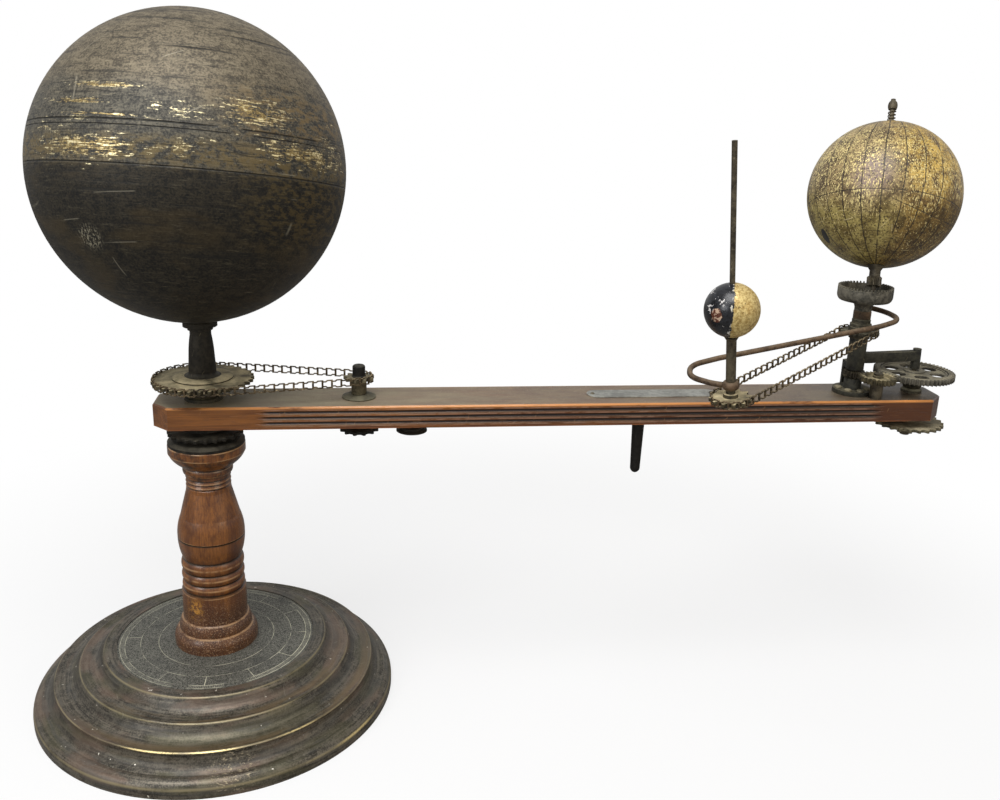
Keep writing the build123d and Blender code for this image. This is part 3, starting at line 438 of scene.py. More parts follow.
class Metal(Enum):
    """The metals of this orrery."""

    PALE = AgedMetal("pale brass", (66, 61, 47), (128, 119, 94), (214, 202, 162), wear=0.35,
                     metallic=0.5, dust=0.9, dust_tone=(172, 161, 132))
    CREAM = AgedMetal("cream brass", (46, 42, 33), (104, 95, 70), (206, 188, 138), metallic=0.5,
                      dust=1.0, dust_tone=(222, 206, 164))
    GREY = AgedMetal("grey brass", (52, 50, 44), (118, 113, 100), (198, 190, 166), metallic=0.4,
                     dust=0.9, dust_tone=(156, 148, 124))
    IRON = AgedMetal("dark iron", (28, 26, 22), (58, 53, 44), (132, 122, 98), wear=0.16,
                     metallic=0.6, dust=0.55, dust_tone=(112, 106, 90))
    BLACK = AgedMetal("black iron", (14, 13, 12), (38, 36, 32), (96, 90, 74), wear=0.12,
                      metallic=0.5, dust=0.6, dust_tone=(106, 102, 90))
    STEEL = AgedMetal("dull steel", (50, 45, 36), (108, 99, 80), (192, 182, 156), metallic=0.5,
                      dust=0.3)
    # Chain strip: dark links whose bright tan spots are part wear and part painted highlight.
    CHAIN = AgedMetal("chain strip", (38, 31, 22), (116, 98, 70), (236, 218, 178), wear=0.5,
                      scale=90.0, metallic=0.4, dust=0.7, dust_tone=(180, 162, 128))
    WIRE = AgedMetal("brown wire", (62, 48, 35), (116, 94, 72), (196, 168, 138), metallic=0.4,
                     dust=0.45, dust_tone=(168, 148, 122))
    PLATE = AgedMetal("bare plate", (138, 138, 132), (186, 186, 178), (232, 230, 222),
                      metallic=0.7, rough=(0.25, 0.42), dust=0.1)
    BRONZE = AgedMetal("olive brass", (44, 42, 34), (98, 92, 74), (178, 168, 132), wear=0.24,
                       metallic=0.5, dust=0.7, dust_tone=(144, 138, 114))
    CASTING = AgedMetal("olive casting", (34, 34, 31), (70, 68, 57), (140, 130, 100), wear=0.18,
                        metallic=0.4, dust=0.7, dust_tone=(124, 117, 95))


@dataclass(frozen=True)
class SunSkin(Finish):
    """Tarnished brass sheet, brown-grey above with dust and painted top light, nearly black below
    with painted shade, and rubbed gold flecks with painted highlights.
    """

    centre: float
    radius: float
    label: str = "sun skin"
    # lower holds near-black tones, painted shade on the underside of the ball; upper holds lighter
    # tones, part dust and part painted top light.
    lower: Tones = ((18, 17, 15), (57, 51, 39))
    slate: Tones = ((46, 45, 42), (106, 101, 88))
    upper: Tones = ((70, 63, 51), (130, 119, 98))
    # gilt runs up to near white: rubbed gold, with its brightest tone a painted highlight.
    gilt: Tones = ((160, 136, 84), (252, 238, 190))
    rubbed: tuple[tuple[float, float, float, float], ...] = (
        (-0.050, 0.035, 0.060, 0.110), (0.060, 0.300, 0.034, 0.130), (-0.040, 0.385, 0.045, 0.030),
        (-0.058, 0.290, 0.042, 0.035), (-0.045, 0.215, 0.055, 0.018), (0.092, 0.090, 0.040, 0.100))
    flake: Place = (-0.0552, -0.1007, 0.4263)

    def tarnish(self, n: Nodes, x: Socket, level: Socket, broad: Socket, mottle: Socket,
                grain: Socket) -> Socket:
        """Colour of the sheet where it isn't rubbed: three belts with brown and olive patches, the
        top belt lighter with painted top light and the bottom one nearly black with painted shade.
        """
        cloud = n.between(grain, 0.40, 0.60)
        # Below the seam the sheet turns nearly black: painted shade.
        below = n.over(n.tones(cloud, self.lower), n.times(n.between(broad, 0.5, 0.62), 0.45),
                       (80, 66, 40))
        color = n.mix(n.between(level, -0.075, -0.045), below, n.tones(cloud, self.slate))
        wave = n.line(n.minus(broad, 0.5), 0.5, level)
        # Above the wave lies the lighter belt: part dust, part painted top light.
        color = n.mix(n.between(wave, 0.28, 0.5), color, n.tones(cloud, self.upper))
        olive = n.times(n.near(level, 0.03, 0.13), n.between(mottle, 0.42, 0.56), 0.7)
        color = n.over(color, olive, (116, 98, 58))
        warm = n.times(n.near(level, 0.3, 0.25), n.near(x, 0.085, 0.07),
                       n.between(mottle, 0.45, 0.58), 0.6)
        color = n.over(color, warm, (134, 108, 62))
        low_right = n.times(n.near(level, -0.2, 0.45), n.between(x, 0.03, 0.09),
                            n.between(mottle, 0.47, 0.56), 0.6)
        return n.over(color, low_right, (98, 82, 46))

    def gold_share(self, n: Nodes, x: Socket, y: Socket, level: Socket, flow: Socket) -> Socket:
        """How far the sheet is rubbed: ovals on the front and patches round the middle."""
        patches = n.between(n.streaks(flow, (15.0, 15.0, 44.0), 2.0), 0.5, 0.64)
        total = n.times(n.near(level, 0.12, 0.34), 0.7, patches)
        for across, height, half_x, half_level in self.rubbed:
            oval = n.times(n.near(x, across, half_x), n.near(level, height, half_level),
                           n.between(y, 0.0, -0.02))
            total = n.most(total, oval)
        return total

    def cuts(self, n: Nodes, x: Socket, level: Socket, flow: Socket) -> Socket:
        """Dark grooves, two short marks near the top and the seam of the two halves."""
        broken = n.between(n.streaks(flow, (22.0, 22.0, 60.0), 3.0), 0.40, 0.50)
        grooves = n.times(n.bands(level, [(0.190, 0.008), (0.160, 0.005)]), broken)
        middle_mark = n.times(n.near(level, 0.645, 0.008), n.near(x, 0.02, 0.035))
        right_mark = n.times(n.near(level, 0.76, 0.007), n.near(x, 0.06, 0.04))
        seam = n.times(n.near(level, -0.055, 0.007), n.between(broken, -0.6, 0.6))
        return n.most(grooves, middle_mark, right_mark, seam)

    def paint(self, n: Nodes, shader: bpy.types.Node, position: Socket) -> None:
        """Lay the tarnish with its painted top light and painted shade, the streaks, the rubbed
        gold with painted highlights, the cuts and the scratches.
        """
        x, y, z = n.split(position)
        lean = n.line(y, 0.165, n.line(x, 0.06, n.minus(z, self.centre)))
        level = n.times(lean, 1 / self.radius)
        flow = n.join(x, y, lean)
        streak = n.streaks(flow, (16.0, 16.0, 300.0), 6.0, 0.68, 0.1)
        fine = n.streaks(flow, (85.0, 85.0, 900.0), 3.0, 0.7)
        speck = n.noise(position, 640.0, 3.0, 0.7)
        mottle = n.streaks(flow, (120.0, 120.0, 210.0), 6.0, 0.72)
        broad = n.streaks(flow, (13.0, 13.0, 24.0), 3.0, 0.55)
        grain = n.line(speck, 0.55, n.times(mottle, 0.45))
        color = self.tarnish(n, x, level, broad, mottle, grain)
        color = n.over(color, n.times(n.between(streak, 0.44, 0.36), 0.65), (28, 27, 25))
        # Pale fine streaks grow stronger higher up the ball: painted top light.
        lit = n.line(n.between(level, -0.2, 0.2), 0.28, 0.14)
        color = n.over(color, n.times(n.between(fine, 0.57, 0.68), lit), (156, 146, 120))
        share = self.gold_share(n, x, y, level, flow)
        rub = n.line(fine, 0.5, n.line(speck, 0.2, n.times(mottle, 0.3)))
        edge = n.line(share, -0.135, 0.615)
        gold = n.times(n.between(rub, edge, n.math("ADD", edge, 0.035)),
                       n.between(share, 0.02, 0.2))
        # Rubbed gold, with its palest parts painted highlights.
        color = n.mix(gold, color, n.tones(n.between(rub, 0.52, 0.60), self.gilt))
        dark = self.cuts(n, x, level, flow)
        color = n.over(color, n.times(dark, 0.85), (20, 19, 17))
        chips = n.streaks(position, (900.0, 900.0, 260.0), 3.0, 0.7, turn=(0, 24, 0))
        close = n.between(n.measure("DISTANCE", position, self.flake), 0.013, 0.005)
        flaked = n.times(close, n.between(chips, 0.52, 0.6), 0.75)
        color = n.over(color, flaked, (180, 172, 148))
        color = self.nicked(n, color, position, 61.0, 0.32, (186, 178, 156))
        n.feed_all(shader, {"Base Color": color, "Metallic": n.line(gold, 0.35, 0.35),
                            "Roughness": n.line(gold, -0.18, 0.56)})
        self.relief(n, shader, n.line(dark, -3.0, n.line(streak, 1.6, grain)), 0.22)


@dataclass(frozen=True)
class SpunBase(Finish):
    """Spun brass gone grey, pinkish and olive, with thin rubbed lines along its ridges."""

    label: str = "spun base"
    ridges: tuple[tuple[float, float], ...] = ((97.1, 49.8), (117.6, 39.7), (139.1, 28.6),
                                               (156.4, 8.0))
    bright: tuple[tuple[float, float, float], ...] = (
        (139.1, -105.0, 14.0), (139.1, -55.0, 10.0), (156.4, -36.0, 12.0), (139.1, -84.0, 12.0))
    scuff: Place = (0.030, -0.150, 0.020)
    metal: Tones = ((51, 48, 42), (116, 109, 96))

    def edges(self, n: Nodes, r: Socket, z: Socket) -> Socket:
        """Thin line along the top corner of every ridge."""
        return n.most(*(n.times(n.near(r, ridge * MM, 1.5 * MM), n.near(z, height * MM, 1.7 * MM))
                        for ridge, height in self.ridges))

    def stretches(self, n: Nodes, r: Socket, heading: Socket) -> Socket:
        """The parts of the ridges that are rubbed bright."""
        parts = []
        for ridge, middle, half in self.bright:
            away = n.math("ABSOLUTE", n.minus(r, ridge * MM))
            parts.append(n.times(n.between(away, 0.004, 0.003),
                                 n.near(heading, math.radians(middle), math.radians(half))))
        return n.most(*parts)

    def ground(self, n: Nodes, x: Socket, y: Socket, r: Socket, ring: Socket,
               share: Socket, smear: Socket) -> Socket:
        """Colour of the spun metal, pinkish, olive, grey and warm in turn, dark under ridges."""
        color = n.tones(n.between(share, 0.42, 0.58), self.metal)
        pink = n.between(n.streaks(ring, (60.0, 60.0, 20.0), 3.0, 0.5), 0.48, 0.62)
        color = n.over(color, n.times(pink, 0.5), (132, 110, 94))
        olive = n.between(n.streaks(ring, (44.0, 80.0, 24.0), 3.0, 0.5), 0.5, 0.64)
        color = n.over(color, n.times(olive, 0.45), (98, 94, 70))
        color = n.over(color, n.times(n.between(smear, 0.5, 0.62), 0.45), (88, 87, 83))
        front = n.between(n.line(x, 0.4, n.times(y, -1.0)), 0.0, 0.12)
        inside = n.bands(r, [((ridge - 5.0) * MM, 7.0 * MM) for ridge, _ in self.ridges[1:3]])
        warm = n.times(inside, front, n.between(smear, 0.42, 0.58), 0.5)
        color = n.over(color, warm, (132, 108, 70))
        under = n.bands(r, [((ridge + 3.4) * MM, 3.6 * MM) for ridge, _ in self.ridges[:3]])
        return n.over(color, n.times(under, 0.42), (46, 42, 36))

    def paint(self, n: Nodes, shader: bpy.types.Node, position: Socket) -> None:
        """Lay the spun metal, the rubbed ridges, the scuff, the flecks and the scratches."""
        x, y, z = n.split(position)
        r = n.radius(x, y)
        heading = n.math("ARCTAN2", y, x)
        ring = n.join(r, z, n.times(n.math("ABSOLUTE", heading), 0.1))
        turning = n.streaks(ring, (520.0, 520.0, 34.0), 4.0, 0.65)
        smear = n.streaks(ring, (110.0, 110.0, 26.0), 4.0, 0.6)
        grit = n.noise(position, 760.0, 3.0, 0.75)
        mottle = n.noise(position, 120.0, 6.0, 0.7)
        share = n.line(grit, 0.35, n.line(turning, 0.35, n.times(mottle, 0.3)))
        color = self.ground(n, x, y, r, ring, share, smear)
        thin = self.edges(n, r, z)
        color = n.over(color, n.times(thin, n.between(smear, 0.30, 0.6), 0.6), (170, 156, 118))
        rub = n.times(thin, self.stretches(n, r, heading), n.between(grit, 0.32, 0.46))
        color = n.over(color, rub, (246, 222, 160))
        chips = n.streaks(position, (260.0, 760.0, 760.0), 4.0, 0.7, turn=(0, 0, 24))
        close = n.between(n.measure("DISTANCE", position, self.scuff), 0.026, 0.010)
        marks = n.times(close, n.between(chips, 0.56, 0.62))
        color = n.over(color, n.times(marks, 0.8), (206, 190, 158))
        flecks = n.between(n.noise(position, 210.0, 2.0, 0.5), 0.735, 0.765)
        color = n.over(color, flecks, (226, 220, 204))
        color = self.nicked(n, color, position, 120.0, 0.25, (190, 182, 160))
        n.feed_all(shader, {"Base Color": color, "Metallic": n.line(rub, 0.35, 0.5),
                            "Roughness": n.line(smear, 0.3, 0.24)})
        self.relief(n, shader, n.line(turning, 0.8, n.line(marks, -1.0, grit)), 0.14)


@dataclass(frozen=True)
class DialFace(Finish):
    """Etched dark grey dial: a finely speckled ground with thin pale rings and divisions."""

    label: str = "etched dial"
    rings: tuple[float, ...] = (83.6, 79.2, 66.0, 50.5)
    divisions: int = 12
    days: int = 360
    etching: Tones = ((27, 28, 27), (128, 127, 117))

    def etched(self, n: Nodes, r: Socket, heading: Socket) -> Socket:
        """Mask of the rings, of the lines between the divisions and of the fine ticks."""
        circles = n.bands(r, [(ring * MM, 0.42 * MM) for ring in self.rings])
        turns = n.times(heading, 1 / math.tau)
        off_line = n.to_step(n.times(turns, self.divisions), n.times(r, math.tau / self.divisions))
        lines = n.times(n.between(off_line, 0.4 * MM, 0.15 * MM), n.between(r, 0.0655, 0.0660),
                        n.between(r, 0.0797, 0.0792))
        off_tick = n.to_step(n.times(turns, self.days), n.times(r, math.tau / self.days))
        ticks = n.times(n.between(off_tick, 0.26 * MM, 0.1 * MM), n.between(r, 0.0792, 0.0795),
                        n.between(r, 0.0836, 0.0834), 0.45)
        return n.most(circles, lines, ticks)

    def paint(self, n: Nodes, shader: bpy.types.Node, position: Socket) -> None:
        """Lay the speckled ground and the etched lines, worn in places and brighter towards the
        front right as painted light.
        """
        x, y, _ = n.split(position)
        grit = n.noise(position, 1000.0, 3.0, 0.8)
        cloud = n.noise(position, 40.0, 5.0, 0.65)
        worm = n.streaks(position, (330.0, 330.0, 330.0), 2.0, 0.5, 1.2, (0, 0, 30))
        color = n.tones(n.between(grit, 0.40, 0.60), self.etching)
        color = n.over(color, n.times(n.near(worm, 0.5, 0.035), 0.5), (150, 148, 136))
        color = n.over(color, n.times(n.between(cloud, 0.52, 0.66), 0.5), (64, 65, 62))
        etched = self.etched(n, n.radius(x, y), n.math("ARCTAN2", y, x))
        worn = n.between(n.noise(position, 45.0, 4.0, 0.7), 0.36, 0.58)
        # Etched lines brighter towards the front right: painted light.
        lit = n.line(n.between(n.minus(x, y), 0.02, 0.09), 0.45, 0.55)
        color = n.over(color, n.times(etched, worn, lit), (240, 236, 208))
        n.feed_all(shader, {"Base Color": color, "Roughness": n.line(grit, 0.3, 0.42),
                            "Metallic": 0.35})
        self.relief(n, shader, n.minus(n.math("ADD", grit, worm), etched), 0.07)


@dataclass(frozen=True)
class TurnedWood(Finish):
    """Orange-brown varnished turning with black grooves and pale rings that are part wear and part
    painted highlight, crackled at its foot, where pale specks are painted reflections.
    """

    foot: float
    label: str = "turned column"
    wood: Tones = ((96, 52, 20), (154, 96, 40))
    # rubbed lists pale rings on the bead crests: part wear, part painted highlight.
    rubbed: tuple[tuple[float, float], ...] = (
        (13.7, 0.9), (23.9, 0.9), (50.6, 0.7), (57.6, 1.1), (66.6, 1.2), (76.8, 1.3),
        (102.4, 0.6), (150.5, 0.6), (154.4, 0.6), (161.2, 0.8), (166.0, 0.6), (179.6, 0.8),
        (186.4, 0.9))
    grooves: tuple[tuple[float, float], ...] = (
        (52.2, 1.3), (61.3, 1.4), (70.9, 1.4), (82.2, 1.8), (101.4, 1.3), (148.8, 0.9),
        (152.6, 0.9), (156.4, 0.9), (167.2, 1.6))

    def rings(self, n: Nodes, height: Socket, lines: tuple[tuple[float, float], ...]) -> Socket:
        """1 on rings round the turning, each a height and a half width in millimetres."""
        return n.bands(height, [(middle * MM, half * MM) for middle, half in lines])

    def paint(self, n: Nodes, shader: bpy.types.Node, position: Socket) -> None:
        """Lay the wood, its darker mottled top and its cracks, the pale rings that are part wear
        and part painted highlight, the grooves, the dust and the painted reflections at the foot.
        """
        x, y, z = n.split(position)
        grain = n.group(EFFECTS.grain, Position=n.join(z, x, y), Scale=55.0, Pores=0.55,
                        Light=tone(self.wood[1]), Dark=tone(self.wood[0]))
        height = n.minus(z, self.foot)
        low = n.between(height, 0.060, 0.024)
        blotch = n.between(n.noise(position, 42.0, 6.0, 0.7, 0.2), 0.46, 0.64)
        color = n.over(grain.outputs["Color"], n.times(blotch, 0.6), (72, 38, 20))
        color = n.over(color, n.times(low, 0.65), (76, 44, 22))
        # Darker mottled band on the top of the column, under the arm.
        mottled_mask = n.times(n.between(height, 0.150, 0.158),
                        n.between(n.noise(position, 110.0, 5.0, 0.7), 0.42, 0.6), 0.8)
        color = n.over(color, mottled_mask, (40, 24, 14))
        cracks = n.group(EFFECTS.crackle, Position=position, Scale=520.0, Amount=0.95)
        net = n.times(cracks.outputs["Mask"], n.line(low, 0.85, 0.08))
        color = n.over(color, net, (30, 16, 8))
        # Pale broken rings: part wear, part painted highlight on the varnish.
        rub = n.times(self.rings(n, height, self.rubbed),
                      n.between(n.noise(position, 70.0, 4.0, 0.7), 0.36, 0.56), 0.6)
        color = n.over(color, rub, (204, 160, 112))
        color = n.over(color, n.times(self.rings(n, height, self.grooves), 0.92), (16, 9, 6))
        spot = n.times(n.near(height, 0.040, 0.013), n.near(x, -0.013, 0.009),
                       n.between(y, 0.0, -0.01),
                       n.between(n.noise(position, 300.0, 4.0, 0.7), 0.48, 0.54), 0.85)
        color = n.over(color, spot, (206, 146, 56))
        dusty = n.group(EFFECTS.dust, Position=position, Scale=80.0, Color=color,
                        Dust=tone((150, 122, 90)), Amount=0.16)
        # Pale specks at the foot: painted reflections on the crackled varnish.
        specks = n.times(n.between(n.noise(position, 900.0, 2.0, 0.6), 0.56, 0.63), low, 0.55)
        color = n.over(dusty.outputs["Color"], specks, (200, 160, 122))
        n.feed_all(shader, {"Base Color": color, "Coat Weight": 0.3, "Coat Roughness": 0.18,
                            "Roughness": n.line(net, 0.3, n.line(low, 0.1, 0.28))})
        self.relief(n, shader, n.minus(grain.outputs["Height"], n.times(net, 1.5)), 0.1)


@dataclass(frozen=True)
class ArmWood(Finish):
    """Varnished board: dusty above, black in its flutes as painted shade, with painted highlights
    on the flute ridges and along the top front edge.
    """

    low: float
    high: float
    half_width: float
    flute_step: float = 0.0047
    fluted: tuple[float, float] = (0.052, 0.586)
    label: str = "arm board"
    wood: Tones = ((96, 54, 22), (152, 94, 40))

    def flutes(self, n: Nodes, x: Socket, z: Socket, across: Socket) -> tuple[Socket, Socket]:
        """Masks of the flutes, darker deeper in as painted shade, and of the pale ridges beside
        them, which carry painted highlights.
        """
        middle = (self.low + self.high) / 2
        start, end = self.fluted
        side = self.half_width
        length = n.times(n.between(x, start - 0.006, start + 0.006),
                         n.between(x, end + 0.006, end - 0.006))
        rows = [(middle + step * self.flute_step, 1.9 * MM) for step in (-1, 0, 1)]
        # Darker the deeper into the flute: painted shade.
        deep = n.between(across, side - 0.0001, side - 0.0007)
        dark = n.times(n.bands(z, rows), length, n.line(deep, 0.5, 0.5),
                       n.between(across, side - 0.0035, side - 0.003))
        edges = [(middle + step * self.flute_step, 0.7 * MM) for step in (-1.5, -0.5, 0.5, 1.5)]
        face = n.between(across, side - 0.0006, side - 0.0003)
        return dark, n.times(n.bands(z, edges), face, length)

    def varnish(self, n: Nodes, x: Socket, z: Socket, across: Socket, position: Socket,
                color: Socket) -> Socket:
        """The wood, redder towards the Earth, with its flutes darkened as painted shade, painted
        highlights on their ridges and along the top front edge, and a lighter line along the
        bottom edge.
        """
        blotch = n.between(n.streaks(position, (9.0, 30.0, 30.0), 4.0, 0.6), 0.4, 0.66)
        color = n.over(color, n.times(blotch, 0.45), (86, 46, 26))
        color = n.over(color, n.times(n.between(x, 0.10, 0.56), 0.78), (66, 32, 18))
        dark, ridge = self.flutes(n, x, z, across)
        # Flutes near black: painted shade.
        color = n.over(color, n.times(dark, 0.97), (14, 8, 6))
        # Pale broken lines on the flute ridges: painted highlights.
        scuff = n.between(n.streaks(position, (60.0, 200.0, 200.0), 4.0, 0.7), 0.36, 0.56)
        color = n.over(color, n.times(ridge, scuff, 0.75), (172, 134, 110))
        # Orange line along the top front edge: painted highlight on the rounded edge.
        edge = n.times(n.between(z, self.high - 0.0026, self.high - 0.0012),
                       n.between(across, self.half_width - 0.0026, self.half_width - 0.0012))
        rub = n.streaks(position, (26.0, 90.0, 90.0), 4.0, 0.65)
        color = n.over(color, n.times(edge, n.between(rub, 0.32, 0.5), 0.9), (222, 148, 80))
        corner = n.times(n.near(z, self.low, 1.3 * MM), n.between(rub, 0.4, 0.6), 0.6)
        return n.over(color, corner, (164, 100, 54))

    def paint(self, n: Nodes, shader: bpy.types.Node, position: Socket) -> None:
        """Lay the varnished wood, the dust on its top, paler towards the hub partly as painted
        light, the specks and the scratches.
        """
        x, y, z = n.split(position)
        grain = n.group(EFFECTS.grain, Position=position, Scale=60.0, Pores=0.5,
                        Light=tone(self.wood[1]), Dark=tone(self.wood[0]))
        color = self.varnish(n, x, z, n.math("ABSOLUTE", y), position, grain.outputs["Color"])
        up = n.between(n.upward(), 0.8, 0.98)
        mottled_mask = n.between(n.streaks(position, (30.0, 90.0, 90.0), 6.0, 0.75), 0.34, 0.64)
        # Dust paler towards the hub: part dust, part painted light on the top that lies in the Sun
        # ball's shadow.
        hub = n.between(n.radius(x, y), 0.30, 0.05)
        cover = n.times(up, n.line(mottled_mask, 0.35, n.line(hub, 0.45, 0.18)))
        color = n.over(color, n.times(up, 0.45), (58, 36, 27))
        color = n.over(color, cover, (158, 147, 122))
        color = n.over(color, n.times(up, n.between(x, 0.50, 0.60), 0.6), (84, 76, 64))
        specks = n.times(n.between(n.noise(position, 800.0, 2.0, 0.6), 0.62, 0.7), up, 0.6)
        color = n.over(color, specks, (190, 178, 152))
        color = self.nicked(n, color, position, 160.0, 0.45, (186, 138, 92))
        n.feed_all(shader, {"Base Color": color, "Roughness": n.line(cover, 0.35, 0.32),
                            "Coat Weight": n.most(n.line(cover, -0.25, 0.25), 0.0),
                            "Coat Roughness": 0.25})
        self.relief(n, shader, grain.outputs["Height"], 0.12)


@dataclass(frozen=True)
class GlobePaper(Finish):
    """Printed gores gone gold: dark meridians and parallels, rubbed flecks and one gash."""

    centre: Place
    axis: Place
    radius: float
    label: str = "globe paper"
    gash: Place = (0.5340, 0.0060, 0.4155)
    gores: int = 24
    parallel_step: float = 15.0
    strong_parallel: float = -0.0143
    slant: Place = (0.36, -0.077, 0.93)
    row_height: float = 0.0021
    # Centre of the painted highlight on the upper front.
    highlight_place: Place = (0.004, -0.054, 0.030)
    blush: Place = (-0.036, -0.044, 0.022)
    gold: Tones = ((104, 76, 30), (204, 168, 80))
    grey: Tones = ((88, 70, 44), (172, 148, 102))
    panel: Tones = ((112, 94, 46), (182, 164, 96))
    brown: Tones = ((72, 54, 22), (140, 112, 56))

    def drawn(self, n: Nodes, local: Socket, turned: Socket, wander: Socket) -> Socket:
        """Dark printed lines: meridians, parallels, one strong parallel and a slanting line."""
        x, y, z = n.split(turned)
        bend = n.times(n.minus(wander, 0.5), 0.06)
        angle = n.math("ADD", n.math("ARCTAN2", y, x), bend)
        off_meridian = n.to_step(n.times(angle, self.gores / math.tau),
                                 n.times(n.radius(x, y), math.tau / self.gores))
        meridians = n.between(off_meridian, 0.7 * MM, 0.25 * MM)
        latitude = n.math("ARCSINE", n.times(z, 1 / self.radius))
        step = math.radians(self.parallel_step)
        off_parallel = n.to_step(n.line(latitude, 1 / step, 8.0), step * self.radius)
        parallels = n.times(n.between(off_parallel, 0.35 * MM, 0.12 * MM), 0.4)
        strong = n.near(z, self.strong_parallel, 0.65 * MM)
        off_slant = n.measure("DOT_PRODUCT", local, self.slant)
        slant = n.times(n.near(off_slant, 0.0, 0.65 * MM),
                        n.between(n.split(local)[0], -0.030, -0.018))
        faded = n.between(n.noise(turned, 130.0, 3.0, 0.6), 0.34, 0.46)
        return n.times(n.most(meridians, strong, parallels, slant), faded)

    def small_print(self, n: Nodes, turned: Socket) -> Socket:
        """Rows of fine broken marks, with no letters in them, under the strong parallel."""
        z = n.split(turned)[2]
        row = n.near(n.math("FRACT", n.times(z, 1 / self.row_height)), 0.5, 0.26)
        marks = n.between(n.streaks(turned, (900.0, 900.0, 300.0), 2.0), 0.5, 0.56)
        parts = n.between(n.streaks(turned, (90.0, 90.0, 160.0), 2.0), 0.50, 0.56)
        return n.times(row, marks, parts, n.between(z, -0.016, -0.019))

    def ground(self, n: Nodes, local: Socket, patchy: Socket, mottle: Socket,
               upper: Socket) -> Socket:
        """Colour of the paper: gold on the right, grey on the left, olive and brown below, with a
        painted highlight on the upper front.
        """
        side = n.line(n.minus(patchy, 0.5), 0.06, n.split(local)[0])
        light = n.between(mottle, 0.40, 0.60)
        above = n.mix(n.between(side, -0.028, 0.004), n.tones(light, self.grey),
                      n.tones(light, self.gold))
        below = n.mix(n.between(side, -0.026, -0.006), n.tones(light, self.panel),
                      n.tones(light, self.brown))
        color = n.mix(upper, below, above)
        # Bright gold spot on the upper front: painted highlight.
        painted_highlight = n.times(n.between(n.measure("DISTANCE", local, self.highlight_place), 0.030, 0.004),
                        n.between(mottle, 0.42, 0.58), 0.75)
        color = n.over(color, painted_highlight, (240, 202, 108))
        pink = n.between(n.measure("DISTANCE", local, self.blush), 0.022, 0.006)
        return n.over(color, n.times(pink, 0.7), (176, 150, 134))

    def torn(self, n: Nodes, position: Socket, wander: Socket) -> Socket:
        """Mask of the gash, a tall leaning oval with a ragged edge."""
        hole = n.stretch(n.vector("SUBTRACT", position, self.gash), (1.5, 1.5, 0.42), (0, 24, 0))
        away = n.line(n.minus(wander, 0.5), 0.004, n.measure("LENGTH", hole))
        return n.between(away, 0.0072, 0.0060)

    def paint(self, n: Nodes, shader: bpy.types.Node, position: Socket) -> None:
        """Lay the paper, its rubbed flecks, the print, the scratches and the gash."""
        local = n.vector("SUBTRACT", position, self.centre)
        spin = Vector(self.axis).rotation_difference(Vector((0.0, 0.0, 1.0))).to_euler()
        turned = n.add("Mapping", {"Vector": local, "Rotation": tuple(spin)}).outputs[0]
        x, _, z = n.split(local)
        wander = n.noise(position, 40.0, 3.0, 0.5)
        mottle = n.noise(position, 90.0, 7.0, 0.75)
        right = n.streaks(position, (900.0, 900.0, 260.0), 3.0, 0.65, turn=(0, -34, 20))
        left = n.streaks(position, (760.0, 760.0, 300.0), 3.0, 0.65, turn=(20, 48, 0))
        stroke = n.most(right, left)
        pits = n.noise(position, 620.0, 3.0, 0.7)
        patchy = n.noise(position, 30.0, 4.0, 0.6)
        upper = n.between(n.line(n.minus(patchy, 0.5), 0.05, z), -0.014, 0.008)
        color = self.ground(n, local, patchy, mottle, upper)
        color = n.over(color, n.between(pits, 0.46, 0.38), (54, 38, 16))
        lift = n.line(n.between(x, -0.01, 0.03), -0.012, n.line(upper, -0.056, 0.630))
        flecks = n.between(n.line(n.minus(patchy, 0.5), 0.25, stroke), lift,
                           n.math("ADD", lift, 0.035))
        color = n.over(color, n.times(flecks, 0.9), (254, 232, 160))
        coast = n.times(n.near(n.noise(position, 24.0, 7.0, 0.62, 0.4), 0.53, 0.009), 0.55)
        color = n.over(color, coast, (58, 42, 20))
        small = n.times(self.small_print(n, turned), n.between(x, 0.0, -0.02), 0.8)
        color = n.over(color, small, (56, 46, 22))
        lines = self.drawn(n, local, turned, wander)
        color = n.over(color, n.times(lines, 0.9), (38, 27, 14))
        color = self.nicked(n, color, position, 150.0, 0.8, (248, 228, 172))
        gash = self.torn(n, position, wander)
        color = n.over(color, gash, (12, 10, 7))
        n.feed_all(shader, {"Base Color": color, "Roughness": n.line(mottle, 0.3, 0.30),
                            "Metallic": n.times(flecks, 0.3), "Coat Weight": 0.2,
                            "Coat Roughness": 0.3})
        raised = n.line(flecks, 0.5, n.math("ADD", stroke, pits))
        self.relief(n, shader, n.minus(raised, n.line(gash, 4.0, n.times(lines, 0.8))), 0.2)


